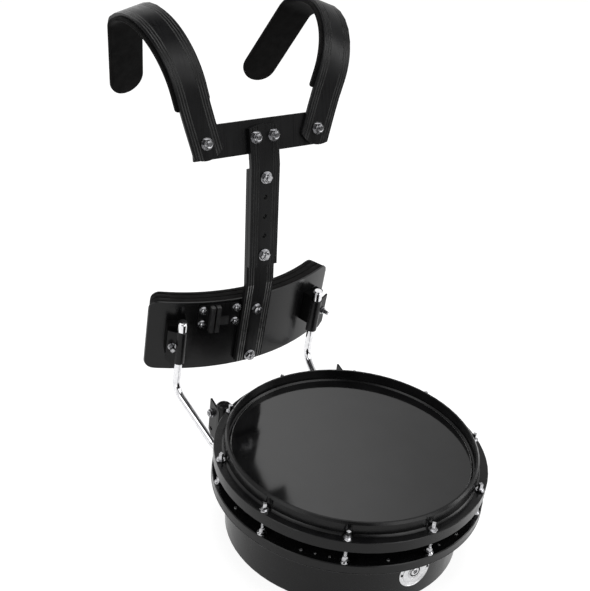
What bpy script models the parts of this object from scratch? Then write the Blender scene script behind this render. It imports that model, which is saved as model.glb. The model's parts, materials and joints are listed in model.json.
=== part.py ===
"""A single-headed marching snare drum on a shoulder carrier.

The drum stands on its open rim with its axis on Z. The player stands behind it, at +Y, and X runs
across the carrier. Lengths are metres and angles are degrees.
"""

import math

import bmesh
import bpy
from mathutils import Matrix, Vector

# Running and seating clearances
SEAT_GAP = 0.0003
ROD_CLEARANCE = 0.0004
TUBE_CLEARANCE = 0.0004

# Shell
SHELL_RADIUS = 0.177
SHELL_WALL = 0.006
SHELL_HEIGHT = 0.1397
EDGE_FLAT = 0.0008
VENT_RADIUS = 0.005
VENT_HEIGHT = 0.047

# Batter head, film and flesh hoop in one
FILM_THICKNESS = 0.0005
FLESH_WIDTH = 0.0032
FLESH_HEIGHT = 0.007
FLESH_DROP = 0.0125

# Tension rods' circle
LUG_COUNT = 10
LUG_BEYOND_SHELL = 0.018
LUG_CIRCLE_RADIUS = SHELL_RADIUS + LUG_BEYOND_SHELL

# Top hoop
HOOP_BEYOND_LUG = 0.0072
HOOP_RADIUS = LUG_CIRCLE_RADIUS + HOOP_BEYOND_LUG
HOOP_FLANGE_THICKNESS = 0.003
HOOP_FLANGE_DROP = 0.0027
HOOP_BAND_HEIGHT = 0.017
HOOP_BAND_THICKNESS = 0.0026
HOOP_COLLAR_BEYOND_SHELL = 0.007
HOOP_COLLAR_RADIUS = SHELL_RADIUS + HOOP_COLLAR_BEYOND_SHELL
HOOP_COLLAR_WALL = 0.0026
HOOP_COLLAR_HEIGHT = 0.020
HOOP_SHOULDER_WIDTH = 0.0028
HOOP_SHOULDER_RADIUS = HOOP_COLLAR_RADIUS + HOOP_SHOULDER_WIDTH
HOOP_SHOULDER_DROP = 0.0030
HOOP_FOOT_WIDTH = 0.0040
HOOP_FOOT_RADIUS = HOOP_COLLAR_RADIUS + HOOP_FOOT_WIDTH
HOOP_FOOT_HEIGHT = 0.0032
HOOP_FILLET_WIDTH = 0.0060
HOOP_FILLET_RADIUS = HOOP_COLLAR_RADIUS + HOOP_FILLET_WIDTH
POCKET_RADIUS = 0.0095

# Lug ring
RING_BEYOND_LUG = 0.0074
RING_RADIUS = LUG_CIRCLE_RADIUS + RING_BEYOND_LUG
RING_DROP = 0.0405
RING_BAND_HEIGHT = 0.0148
RING_WALL = 0.0025
RING_EDGE = 0.0012

# Tension rods and their nuts
ROD_RADIUS = 0.0026
ROD_TIP_BELOW_WEB = 0.008
KEY_HEAD_SIDE = 0.0048
KEY_HEAD_HEIGHT = 0.0085
KEY_COLLAR_RADIUS = 0.0046
KEY_COLLAR_HEIGHT = 0.0018
WASHER_RADIUS = 0.0067
WASHER_THICKNESS = 0.0020
NUT_FLANGE_RADIUS = 0.0070
NUT_FLANGE_THICKNESS = 0.0014
NUT_CONE_HEIGHT = 0.0030
NUT_RADIUS = 0.0047
NUT_HEIGHT = 0.0098

# Snares under the batter head
SNARE_ANGLE = 24
SNARE_LENGTH = 0.300
SNARE_WIDTH = 0.040
SNARE_COUNT = 12
SNARE_WIRE = 0.0010
SNARE_CLEARANCE = 0.0025
SNARE_END_PLATE = 0.014
SNARE_BRACKET_WIDTH = 0.046
SNARE_BRACKET_DEPTH = 0.024
SNARE_BRACKET_THICKNESS = 0.0025
SNARE_BRACKET_HEIGHT = 0.078
KNOB_DROP = 0.0737
KNOB_RADIUS = 0.008
KNOB_LENGTH = 0.011
KNOB_STEM_RADIUS = 0.003
KNOB_STEM_REACH = 0.016

# J-rods
JROD_RADIUS = 0.00635
JROD_HALF_SPACING = 0.127
JROD_TOP_HEIGHT = 0.2225
JROD_BEND_HEIGHT = 0.088
JROD_BEND_RADIUS = 0.025
JROD_HOOK_BELOW_TUBE = 0.031
JROD_HOOK_RADIUS = 0.018
JROD_TIP_BELOW_TUBE = 0.0115
JROD_COLLAR_RADIUS = 0.0078
JROD_COLLAR_HEIGHT = 0.0150

# Receivers on the drum
RECEIVER_ANGLE = 150
RECEIVER_REACH = 0.0140
RECEIVER_TUBE_RADIUS = 0.0128
RECEIVER_TUBE_WALL = 0.0026
RECEIVER_TUBE_DROP = 0.0162
RECEIVER_TUBE_LENGTH = 0.0615
RECEIVER_CAP_RISE = 0.0085
RECEIVER_FOOT_WIDTH = 0.046
RECEIVER_FOOT_LOW = 0.020
RECEIVER_FOOT_BELOW_RING = 0.0057
RECEIVER_FOOT_THICKNESS = 0.003
RECEIVER_WEB_WIDTH = 0.016
CLAMP_EAR_THICKNESS = 0.003
CLAMP_EAR_LENGTH = 0.022
CLAMP_EAR_FORWARD = 0.006
CLAMP_EAR_DROP = 0.0087
CLAMP_EAR_SLOPE = 0.008
CLAMP_EAR_HEIGHT = 0.065
CLAMP_EAR_CHAMFER = 0.008
EAR_SCREW_BELOW_TOP = 0.022
EAR_SCREW_INSET = 0.008
EAR_HOLE_RISE = 0.013

# Clamp screws on the belly plate's rod clamps
SCREW_RADIUS = 0.0030
SCREW_WASHER_RADIUS = 0.0068
SCREW_WASHER_THICKNESS = 0.0016
SCREW_COLLAR_RADIUS = 0.0054
SCREW_COLLAR_HEIGHT = 0.0030
SCREW_HEAD_SIDE = 0.0060
SCREW_STICK_OUT = 0.013

# Nuts on the receivers' ears
EAR_WASHER_RADIUS = 0.0070
EAR_NUT_RADIUS = 0.0063
EAR_NUT_HEIGHT = 0.0046
EAR_STUD_STICK_OUT = 0.0012

# Belly plate and its pad
PLATE_RADIUS = 0.352
PLATE_HALF_WIDTH = 0.1665
PLATE_HEIGHT = 0.131
PLATE_THICKNESS = 0.003
PLATE_CORNER = 0.014
PLATE_MIDDLE_HEIGHT = 0.1775
PLATE_FRONT_Y = 0.3005
PLATE_LEAN = 6
PAD_THICKNESS = 0.030
PAD_CROWN = 0.0025

# Rod clamps on the belly plate
CLAMP_ROD_OFFSET = 0.021
CLAMP_PLATE_THICKNESS = 0.0026
CLAMP_HEIGHT = 0.061
CLAMP_LOW = -0.0345
CLAMP_BASE_LOW = -0.021
CLAMP_BASE_TOP = 0.0335
CLAMP_BASE_DEPTH = 0.0155
CLAMP_BASE_INBOARD = 0.0085
CLAMP_FLANGE_REACH = 0.0230
CLAMP_SCREW_REACH = 0.0145
CLAMP_SCREW_RISE = 0.0010
CLAMP_HORN = 0.004
CLAMP_CHAMFER = 0.009
CLAMP_FLANGE_FACE = 0.0255

# Flat bars of the carrier
BAR_WIDTH = 0.050
BAR_THICKNESS = 0.008
GROOVE_WIDTH = 0.0022
GROOVE_DEPTH = 0.0009
GROOVE_EDGE_STEP = 0.0042
HOLE_PITCH = 0.0314
HOLE_RADIUS = 0.0034
UPPER_BAR_LEAN = 6
LOWER_BAR_TOP = 0.4600
LOWER_BAR_LOW = 0.119
UPPER_BAR_LOW = 0.3050
BEND_HEIGHT = 0.467
TOP_BOLT_HEIGHT = 0.449
PLATE_BOLT_SPACING = 0.0945

# Crossbar and shoulder arms
CROSSBAR_LEAN = 15
CROSSBAR_HEIGHT = 0.510
CROSSBAR_HALF_LENGTH = 0.116
CROSSBAR_THICKNESS = 0.005
CROSSBAR_BOLT_SPACING = 0.0304
ARM_THICKNESS = 0.005
ARM_PIVOT_X = 0.0965
ARM_BELOW_PIVOT = 0.025
ARM_STRAIGHT = 0.030
ARM_HOLLOW_RADIUS = 0.450
ARM_HOLLOW_TURN = 6
ARM_SHOULDER_RADIUS = 0.110
ARM_SHOULDER_TURN = 115.3
ARM_BACK_RADIUS = 0.0315
ARM_BACK_TURN = 36.3
ARM_TAIL = 0.134
ARM_CORNER = 0.010
LEFT_ARM_SPREAD = 14
RIGHT_ARM_SPREAD = 21
SHOULDER_PAD_WIDTH = 0.058
SHOULDER_PAD_THICKNESS = 0.0075
SHOULDER_PAD_START = 0.056

# Lock nuts, each on a washer
NUT_WASHER_RADIUS = 0.0098
NUT_WASHER_THICKNESS = 0.0015
LOCK_HEX_RADIUS = 0.0082
LOCK_HEX_HEIGHT = 0.0050
LOCK_COLLAR_RADIUS = 0.0064
LOCK_COLLAR_HEIGHT = 0.0022
STUD_STICK_OUT = 0.0022
SHANK_RADIUS = 0.0033
BOLT_HEAD_RADIUS = 0.0075
BOLT_HEAD_HEIGHT = 0.0025

# Accessory bracket
BRACKET_WIDTH = 0.069
BRACKET_CLEARANCE = 0.00162
BRACKET_OFFSET = BAR_WIDTH / 2 + BRACKET_WIDTH / 2 + BRACKET_CLEARANCE
BRACKET_PHI = math.degrees(math.asin(BRACKET_OFFSET / PLATE_RADIUS))
BRACKET_HEIGHT = 0.043
BRACKET_THICKNESS = 0.0025
BRACKET_RISE = 0.0405
BRACKET_RIB_LOW = 0.013
BRACKET_RIB_TOP = 0.061
BRACKET_RIB_DEPTH = 0.0090
BRACKET_RIB_WIDTH = 0.0068
BRACKET_RIB_STARTS = (-0.0168, -0.0072)
BRACKET_BLOCK_START = 0.0025
BRACKET_BLOCK_WIDTH = 0.0140
BRACKET_BLOCK_LOW = 0.0230
BRACKET_BLOCK_HEIGHT = 0.0150
BRACKET_BLOCK_DEPTH = 0.0030
BRACKET_NUT_X = 0.0278
BRACKET_NUT_Z = 0.0132

ROUND_STEPS = 70
TOLERANCE = 0.0001
DRILL_REACH = 0.02


# Scene and helpers

def clear_scene():
    for obj in list(bpy.data.objects):
        bpy.data.objects.remove(obj, do_unlink=True)


def new_collection(name):
    collection = bpy.data.collections.new(name)
    bpy.context.scene.collection.children.link(collection)
    return collection


clear_scene()
PARTS = new_collection("marching_snare_drum")
CUTTERS = new_collection("cutters")


def new_material(name, colour, roughness, metallic):
    material = bpy.data.materials.new(name)
    material.use_nodes = True
    shader = material.node_tree.nodes["Principled BSDF"]
    shader.inputs["Base Color"].default_value = (*colour, 1)
    shader.inputs["Roughness"].default_value = roughness
    shader.inputs["Metallic"].default_value = metallic
    material.diffuse_color = (*colour, 1)
    return material


LACQUER = new_material("black_lacquer", (0.012, 0.012, 0.013), 0.32, 0.0)
BLACK_METAL = new_material("black_powder_coat", (0.014, 0.014, 0.015), 0.38, 0.6)
CHROME = new_material("chrome", (0.78, 0.78, 0.80), 0.10, 1.0)
FILM = new_material("black_film", (0.008, 0.008, 0.009), 0.12, 0.0)
FOAM = new_material("black_foam", (0.016, 0.015, 0.015), 0.92, 0.0)
PLASTIC = new_material("black_plastic", (0.013, 0.013, 0.013), 0.5, 0.0)
WIRE_STEEL = new_material("snare_wire_steel", (0.62, 0.62, 0.63), 0.25, 1.0)


def add_object(name, data, material, collection=PARTS):
    obj = bpy.data.objects.new(name, data)
    collection.objects.link(obj)
    if material is not None:
        data.materials.append(material)
    return obj


def hide_as_cutter(obj):
    obj.hide_render = True
    obj.display_type = "WIRE"
    return obj


def mesh_from(verts, faces):
    mesh = bpy.data.meshes.new("shape")
    mesh.from_pydata([tuple(v) for v in verts], [], faces)
    shape = bmesh.new()
    shape.from_mesh(mesh)
    bmesh.ops.recalc_face_normals(shape, faces=shape.faces)
    shape.to_mesh(mesh)
    shape.free()
    return mesh


def smooth(obj, angle=35):
    obj.data.shade_smooth()
    obj.data.set_sharp_from_angle(angle=math.radians(angle))
    return obj


def turned(name, profile, material, closed=True, steps=ROUND_STEPS, collection=PARTS):
    """A solid of revolution about Z. The profile at +X runs down its outer side."""
    count = len(profile)
    edges = [(i, i + 1) for i in range(count - 1)]
    if closed:
        edges.append((count - 1, 0))
    mesh = bpy.data.meshes.new(name)
    mesh.from_pydata([(r, 0, z) for r, z in profile], edges, [])
    obj = add_object(name, mesh, material, collection)
    screw = obj.modifiers.new("turn", "SCREW")
    screw.angle = 2 * math.pi
    screw.steps = steps
    screw.render_steps = steps
    screw.use_merge_vertices = True
    screw.merge_threshold = TOLERANCE
    screw.use_smooth_shade = True
    return obj


def cylinders(name, places, radius, low, high, sides=12, matrix=None):
    """One cutter made of upright cylinders at the (x, y) places."""
    shape = bmesh.new()
    for x, y in places:
        middle = Matrix.Translation((x, y, (low + high) / 2))
        bmesh.ops.create_cone(
            shape, cap_ends=True, segments=sides, radius1=radius, radius2=radius,
            depth=high - low, matrix=middle,
        )
    mesh = bpy.data.meshes.new(name)
    shape.to_mesh(mesh)
    shape.free()
    obj = hide_as_cutter(add_object(name, mesh, None, CUTTERS))
    if matrix is not None:
        obj.matrix_world = matrix
    return obj


def box_mesh(low, high):
    shape = bmesh.new()
    size = [b - a for a, b in zip(low, high)]
    middle = [(a + b) / 2 for a, b in zip(low, high)]
    matrix = Matrix.Translation(middle) @ Matrix.Diagonal((*size, 1))
    bmesh.ops.create_cube(shape, size=1, matrix=matrix)
    mesh = bpy.data.meshes.new("box")
    shape.to_mesh(mesh)
    shape.free()
    return mesh


def box_cutter(name, low, high, matrix=None):
    obj = hide_as_cutter(add_object(name, box_mesh(low, high), None, CUTTERS))
    if matrix is not None:
        obj.matrix_world = matrix
    return obj


def boolean(obj, other, operation="DIFFERENCE"):
    modifier = obj.modifiers.new(operation.lower(), "BOOLEAN")
    modifier.operation = operation
    modifier.object = other
    modifier.solver = "EXACT"
    return obj


def rounded_outline(half_width, low, high, corner, steps=5):
    """A rectangle with round corners, counter-clockwise."""
    points = []
    corners = (
        (half_width - corner, low + corner, -90),
        (half_width - corner, high - corner, 0),
        (corner - half_width, high - corner, 90),
        (corner - half_width, low + corner, 180),
    )
    for x, y, start in corners:
        for i in range(steps + 1):
            angle = math.radians(start + 90 * i / steps)
            points.append((x + corner * math.cos(angle), y + corner * math.sin(angle)))
    return points


def flat_curve(name, outline, thickness, material, collection=PARTS):
    """A flat outline in local XY, extruded half its thickness each way along Z."""
    curve = bpy.data.curves.new(name, "CURVE")
    curve.dimensions = "2D"
    curve.fill_mode = "BOTH"
    curve.extrude = thickness / 2
    spline = curve.splines.new("POLY")
    spline.points.add(len(outline) - 1)
    for point, (x, y) in zip(spline.points, outline):
        point.co = (x, y, 0, 1)
    spline.use_cyclic_u = True
    return add_object(name, curve, material, collection)


def tube_curve(name, points, radius, material, bevel_resolution=3):
    curve = bpy.data.curves.new(name, "CURVE")
    curve.dimensions = "3D"
    curve.bevel_depth = radius
    curve.bevel_resolution = bevel_resolution
    curve.use_fill_caps = True
    spline = curve.splines.new("POLY")
    spline.points.add(len(points) - 1)
    for point, place in zip(spline.points, points):
        point.co = (*place, 1)
    return add_object(name, curve, material)


def as_mesh(obj):
    """The same object with its evaluated shape as a closed mesh."""
    bpy.context.view_layer.update()
    graph = bpy.context.evaluated_depsgraph_get()
    mesh = bpy.data.meshes.new_from_object(obj.evaluated_get(graph))
    shape = bmesh.new()
    shape.from_mesh(mesh)
    bmesh.ops.remove_doubles(shape, verts=shape.verts, dist=TOLERANCE / 10)
    bmesh.ops.recalc_face_normals(shape, faces=shape.faces)
    shape.to_mesh(mesh)
    shape.free()
    name = obj.name
    matrix = obj.matrix_world.copy()
    collection = obj.users_collection[0]
    bpy.data.objects.remove(obj, do_unlink=True)
    mesh.name = name
    made = bpy.data.objects.new(name, mesh)
    collection.objects.link(made)
    made.matrix_world = matrix
    return made


def placed(obj, matrix):
    obj.matrix_world = matrix
    return obj


def frame(origin, x_axis, y_axis, z_axis):
    """The matrix whose columns are these axes, at this origin."""
    matrix = Matrix.Identity(4)
    for column, axis in enumerate((x_axis, y_axis, z_axis)):
        for row in range(3):
            matrix[row][column] = axis[row]
    matrix.translation = Vector(origin)
    return matrix


def polar(radius, degrees, height=0.0):
    """A point at this angle from the drum's front, which is -Y, turning towards +X."""
    angle = math.radians(degrees)
    return Vector((radius * math.sin(angle), -radius * math.cos(angle), height))


def round_section(radius, count=12):
    return [
        (radius * math.cos(2 * math.pi * i / count), radius * math.sin(2 * math.pi * i / count))
        for i in range(count)
    ]


def polygon_section(radius, sides, count=12):
    """A regular polygon with this many corners, as count points that line up with a circle's."""
    points = []
    per_side = count // sides
    for i in range(count):
        corner = math.radians(360 / sides * (i // per_side))
        following = math.radians(360 / sides * (i // per_side + 1))
        share = (i % per_side) / per_side
        x = radius * ((1 - share) * math.cos(corner) + share * math.cos(following))
        y = radius * ((1 - share) * math.sin(corner) + share * math.sin(following))
        points.append((x, y))
    return points


def loft(sections, loop=False):
    """A mesh through sections of equal count, as a loop or with both ends capped."""
    count = len(sections[0])
    verts = [v for section in sections for v in section]
    faces = []
    spans = len(sections) if loop else len(sections) - 1
    for k in range(spans):
        first = k * count
        second = (k + 1) % len(sections) * count
        for i in range(count):
            j = (i + 1) % count
            faces.append((first + i, first + j, second + j, second + i))
    if not loop:
        faces.append(tuple(range(count - 1, -1, -1)))
        faces.append(tuple(range((len(sections) - 1) * count, len(sections) * count)))
    return mesh_from(verts, faces)


def raised(section, height):
    return [(x, y, height) for x, y in section]


# Drum

FLANGE_TOP = SHELL_HEIGHT - HOOP_FLANGE_DROP
FLANGE_UNDER = FLANGE_TOP - HOOP_FLANGE_THICKNESS
WEB_TOP = FLANGE_TOP - RING_DROP
WEB_UNDER = WEB_TOP - RING_WALL
RING_LOW = FLANGE_TOP - RING_DROP - RING_BAND_HEIGHT
FLESH_INNER = SHELL_RADIUS + SEAT_GAP + FILM_THICKNESS
FLESH_OUTER = FLESH_INNER + FLESH_WIDTH
FLESH_TOP = SHELL_HEIGHT - FLESH_DROP + FLESH_HEIGHT
KNOB_HEIGHT = SHELL_HEIGHT - KNOB_DROP
LUG_ANGLES = [360 / LUG_COUNT * k for k in range(LUG_COUNT)]


def make_shell():
    inner = SHELL_RADIUS - SHELL_WALL
    edge = SHELL_RADIUS - EDGE_FLAT
    bevel = edge - inner
    profile = [
        (edge - EDGE_FLAT, SHELL_HEIGHT),
        (edge, SHELL_HEIGHT),
        (SHELL_RADIUS, SHELL_HEIGHT - EDGE_FLAT),
        (SHELL_RADIUS, 0),
        (inner, 0),
        (inner, SHELL_HEIGHT - bevel),
    ]
    shell = turned("shell", profile, LACQUER)
    out = SHELL_RADIUS + SHELL_WALL
    turn = frame((0, 0, VENT_HEIGHT), (1, 0, 0), (0, 0, 1), (0, -1, 0))
    vent = cylinders("vent_cutter", [(0, 0)], VENT_RADIUS, inner - SHELL_WALL, out, 16, turn)
    boolean(shell, vent)
    direction = polar(1, SNARE_ANGLE)
    side = Vector((0, 0, 1)).cross(direction)
    stem = frame((0, 0, KNOB_HEIGHT), side, (0, 0, 1), direction)
    hole = KNOB_STEM_RADIUS + ROD_CLEARANCE
    boolean(shell, cylinders("knob_cutter", [(0, 0)], hole, inner - SHELL_WALL, out, 12, stem))
    return shell


def make_head():
    under = SHELL_HEIGHT + SEAT_GAP
    skirt = SHELL_RADIUS + SEAT_GAP
    crease = SHELL_RADIUS - EDGE_FLAT
    fall = SHELL_HEIGHT - EDGE_FLAT
    low = FLESH_TOP - FLESH_HEIGHT
    profile = [
        (0, under + FILM_THICKNESS),
        (crease, under + FILM_THICKNESS),
        (skirt + FILM_THICKNESS, fall + FILM_THICKNESS),
        (skirt + FILM_THICKNESS, FLESH_TOP),
        (FLESH_OUTER, FLESH_TOP),
        (FLESH_OUTER, low),
        (skirt, low),
        (skirt, fall),
        (crease, under),
        (0, under),
    ]
    return turned("batter_head", profile, FILM, closed=False)


def make_hoop():
    collar_inner = HOOP_COLLAR_RADIUS - HOOP_COLLAR_WALL
    collar_top = FLANGE_TOP + HOOP_COLLAR_HEIGHT
    band_inner = HOOP_RADIUS - HOOP_BAND_THICKNESS
    foot_inner = FLESH_INNER + SEAT_GAP
    foot_top = FLESH_TOP + SEAT_GAP + HOOP_FLANGE_THICKNESS
    profile = [
        (collar_inner, collar_top),
        (HOOP_COLLAR_RADIUS, collar_top),
        (HOOP_SHOULDER_RADIUS, collar_top - HOOP_SHOULDER_DROP),
        (HOOP_FOOT_RADIUS, FLANGE_TOP + HOOP_FOOT_HEIGHT),
        (HOOP_FILLET_RADIUS, FLANGE_TOP + HOOP_FOOT_HEIGHT / 2),
        (HOOP_FILLET_RADIUS + EDGE_FLAT, FLANGE_TOP),
        (HOOP_RADIUS - EDGE_FLAT, FLANGE_TOP),
        (HOOP_RADIUS, FLANGE_TOP - EDGE_FLAT),
        (HOOP_RADIUS, FLANGE_TOP - HOOP_BAND_HEIGHT),
        (band_inner, FLANGE_TOP - HOOP_BAND_HEIGHT),
        (band_inner, FLANGE_UNDER),
        (HOOP_COLLAR_RADIUS, FLANGE_UNDER),
        (FLESH_OUTER + SEAT_GAP, FLESH_TOP + SEAT_GAP),
        (foot_inner, FLESH_TOP + SEAT_GAP),
        (foot_inner, foot_top),
        (collar_inner, foot_top + HOOP_FLANGE_THICKNESS),
    ]
    hoop = turned("top_hoop", profile, BLACK_METAL)
    lugs = [polar(LUG_CIRCLE_RADIUS, a).to_2d() for a in LUG_ANGLES]
    high = collar_top - HOOP_COLLAR_WALL
    boolean(hoop, cylinders("pocket_cutter", lugs, POCKET_RADIUS, FLANGE_TOP, high, 14))
    hole = ROD_RADIUS + ROD_CLEARANCE
    low = FLANGE_UNDER - HOOP_FLANGE_THICKNESS
    boolean(hoop, cylinders("hoop_hole_cutter", lugs, hole, low, collar_top, 10))
    return hoop


def make_ring():
    band_inner = RING_RADIUS - RING_WALL
    leg_inner = SHELL_RADIUS + SEAT_GAP
    leg_outer = leg_inner + RING_WALL
    profile = [
        (leg_inner, WEB_TOP),
        (RING_RADIUS - RING_EDGE, WEB_TOP),
        (RING_RADIUS, WEB_TOP - RING_EDGE),
        (RING_RADIUS, RING_LOW),
        (band_inner, RING_LOW),
        (band_inner, WEB_UNDER),
        (leg_outer, WEB_UNDER),
        (leg_outer, RING_LOW),
        (leg_inner, RING_LOW),
    ]
    ring = turned("lug_ring", profile, BLACK_METAL)
    lugs = [polar(LUG_CIRCLE_RADIUS, a).to_2d() for a in LUG_ANGLES]
    hole = ROD_RADIUS + ROD_CLEARANCE
    drill = cylinders("ring_hole_cutter", lugs, hole, WEB_UNDER - RING_WALL, WEB_TOP + RING_WALL, 10)
    return boolean(ring, drill)


def make_tension_rod(index, angle):
    """A rod with a round shank, washer, collar and square key head, turning on its own axis."""
    seat = FLANGE_TOP + SEAT_GAP
    washer_top = seat + WASHER_THICKNESS
    collar_top = washer_top + KEY_COLLAR_HEIGHT
    head_top = collar_top + KEY_HEAD_HEIGHT
    tip = WEB_UNDER - ROD_TIP_BELOW_WEB
    corner = KEY_HEAD_SIDE / math.sqrt(2)
    shank = round_section(ROD_RADIUS, 8)
    square = polygon_section(corner, 4, 8)
    sections = [
        raised(round_section(ROD_RADIUS / 2, 8), tip - ROD_RADIUS),
        raised(shank, tip),
        raised(shank, seat),
        raised(round_section(WASHER_RADIUS, 8), seat),
        raised(round_section(WASHER_RADIUS, 8), washer_top),
        raised(round_section(KEY_COLLAR_RADIUS, 8), washer_top),
        raised(round_section(KEY_COLLAR_RADIUS, 8), collar_top),
        raised(square, collar_top),
        raised(square, head_top),
    ]
    rod = add_object(f"tension_rod_{index:02d}", loft(sections), CHROME)
    rod.location = polar(LUG_CIRCLE_RADIUS, angle)
    rod.rotation_euler = (0, 0, math.radians(angle))
    return rod


def make_rod_nut(index, angle):
    """A flanged nut that stands on the ring's web, with a bore for the rod."""
    low = WEB_TOP + SEAT_GAP
    flange_top = low + NUT_FLANGE_THICKNESS
    top = low + NUT_HEIGHT
    bore = round_section(ROD_RADIUS + ROD_CLEARANCE, 12)
    hexagon = polygon_section(NUT_RADIUS, 6)
    flange = round_section(NUT_FLANGE_RADIUS)
    sections = [
        raised(flange, low),
        raised(flange, flange_top),
        raised(hexagon, low + NUT_CONE_HEIGHT),
        raised(hexagon, top - 0.2 * NUT_HEIGHT),
        raised(round_section(0.75 * NUT_RADIUS), top),
        raised(bore, top),
        raised(bore, low),
    ]
    nut = add_object(f"rod_nut_{index:02d}", loft(sections, loop=True), CHROME)
    nut.location = polar(LUG_CIRCLE_RADIUS, angle)
    return nut


# Snares

SNARE_OUT = polar(1, SNARE_ANGLE)
SNARE_SIDE = Vector((0, 0, 1)).cross(SNARE_OUT)
SNARE_TOP = SHELL_HEIGHT - SNARE_CLEARANCE
BRACKET_SHELF = SNARE_TOP - SNARE_WIRE - SEAT_GAP


def make_snare_wires():
    """Straight wires between two end plates, in one piece, running along the snare direction."""
    half = SNARE_LENGTH / 2
    inner = half - SNARE_END_PLATE
    pitch = SNARE_WIDTH / SNARE_COUNT
    low = SNARE_TOP - SNARE_WIRE
    plate = box_mesh((-half, -SNARE_WIDTH / 2, low), (half, SNARE_WIDTH / 2, SNARE_TOP))
    wires = add_object("snare_wires", plate, WIRE_STEEL)
    shape = bmesh.new()
    for k in range(SNARE_COUNT - 1):
        middle = (k + 1) * pitch - SNARE_WIDTH / 2
        gap = pitch - SNARE_WIRE
        size = (2 * inner, gap, 4 * SNARE_WIRE, 1)
        matrix = Matrix.Translation((0, middle, SNARE_TOP)) @ Matrix.Diagonal(size)
        bmesh.ops.create_cube(shape, size=1, matrix=matrix)
    mesh = bpy.data.meshes.new("snare_gap_cutter")
    shape.to_mesh(mesh)
    shape.free()
    cutter = hide_as_cutter(add_object("snare_gap_cutter", mesh, None, CUTTERS))
    matrix = frame((0, 0, 0), SNARE_OUT, SNARE_SIDE, (0, 0, 1))
    placed(cutter, matrix)
    placed(wires, matrix)
    return boolean(wires, cutter)


def make_snare_bracket(name, end):
    """An angle bracket inside the shell, whose shelf carries one end of the snares."""
    inner = SHELL_RADIUS - SHELL_WALL
    half = SNARE_BRACKET_WIDTH / 2
    back = math.sqrt(inner * inner - half * half) - SEAT_GAP
    low = BRACKET_SHELF - SNARE_BRACKET_HEIGHT
    outline = [
        (back, low),
        (back, BRACKET_SHELF),
        (SNARE_LENGTH / 2 - SNARE_END_PLATE, BRACKET_SHELF),
        (SNARE_LENGTH / 2 - SNARE_END_PLATE, BRACKET_SHELF - SNARE_BRACKET_THICKNESS),
        (back - SNARE_BRACKET_THICKNESS, BRACKET_SHELF - SNARE_BRACKET_DEPTH),
        (back - SNARE_BRACKET_THICKNESS, low),
    ]
    bracket = flat_curve(name, outline, SNARE_BRACKET_WIDTH, BLACK_METAL)
    side = SNARE_SIDE * -end
    placed(bracket, frame((0, 0, 0), SNARE_OUT * end, (0, 0, 1), side))
    bracket = as_mesh(bracket)
    stem = frame((0, 0, KNOB_HEIGHT), SNARE_SIDE, (0, 0, 1), SNARE_OUT)
    if end > 0:
        hole = KNOB_STEM_RADIUS + ROD_CLEARANCE
        reach = SHELL_RADIUS - SHELL_WALL
        boolean(bracket, cylinders("bracket_cutter", [(0, 0)], hole, reach / 2, reach, 12, stem))
    return bracket


def make_snare_knob():
    """A fluted knob outside the shell on a stem that runs through it into the bracket."""
    face = SHELL_RADIUS + 2 * SEAT_GAP
    fluted = []
    for i in range(20):
        radius = KNOB_RADIUS if i % 2 else 0.88 * KNOB_RADIUS
        angle = 2 * math.pi * i / 20
        fluted.append((radius * math.cos(angle), radius * math.sin(angle)))
    stem = round_section(KNOB_STEM_RADIUS, 20)
    reach = SHELL_RADIUS - SHELL_WALL - KNOB_STEM_REACH
    sections = [
        raised(stem, reach),
        raised(stem, face),
        raised(fluted, face),
        raised(fluted, face + 0.8 * KNOB_LENGTH),
        raised([(0.8 * x, 0.8 * y) for x, y in fluted], face + KNOB_LENGTH),
    ]
    knob = add_object("snare_knob", loft(sections), PLASTIC)
    return placed(knob, frame((0, 0, KNOB_HEIGHT), SNARE_SIDE, (0, 0, 1), SNARE_OUT))


# Receivers and J-rods

RECEIVER_RADIUS = RING_RADIUS + RECEIVER_REACH - SEAT_GAP
RECEIVER_TUBE_TOP = SHELL_HEIGHT - RECEIVER_TUBE_DROP
RECEIVER_TUBE_LOW = RECEIVER_TUBE_TOP - RECEIVER_TUBE_LENGTH
RECEIVER_FOOT_TOP = RING_LOW - RECEIVER_FOOT_BELOW_RING
CLAMP_EAR_TOP = SHELL_HEIGHT - CLAMP_EAR_DROP
CLAMP_EAR_LOW = CLAMP_EAR_TOP - CLAMP_EAR_HEIGHT
JROD_TIP_HEIGHT = RECEIVER_TUBE_TOP - JROD_TIP_BELOW_TUBE
JROD_HOOK_HEIGHT = RECEIVER_TUBE_LOW - JROD_HOOK_BELOW_TUBE


def receiver_axis(side):
    return polar(RECEIVER_RADIUS, side * RECEIVER_ANGLE)


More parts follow.
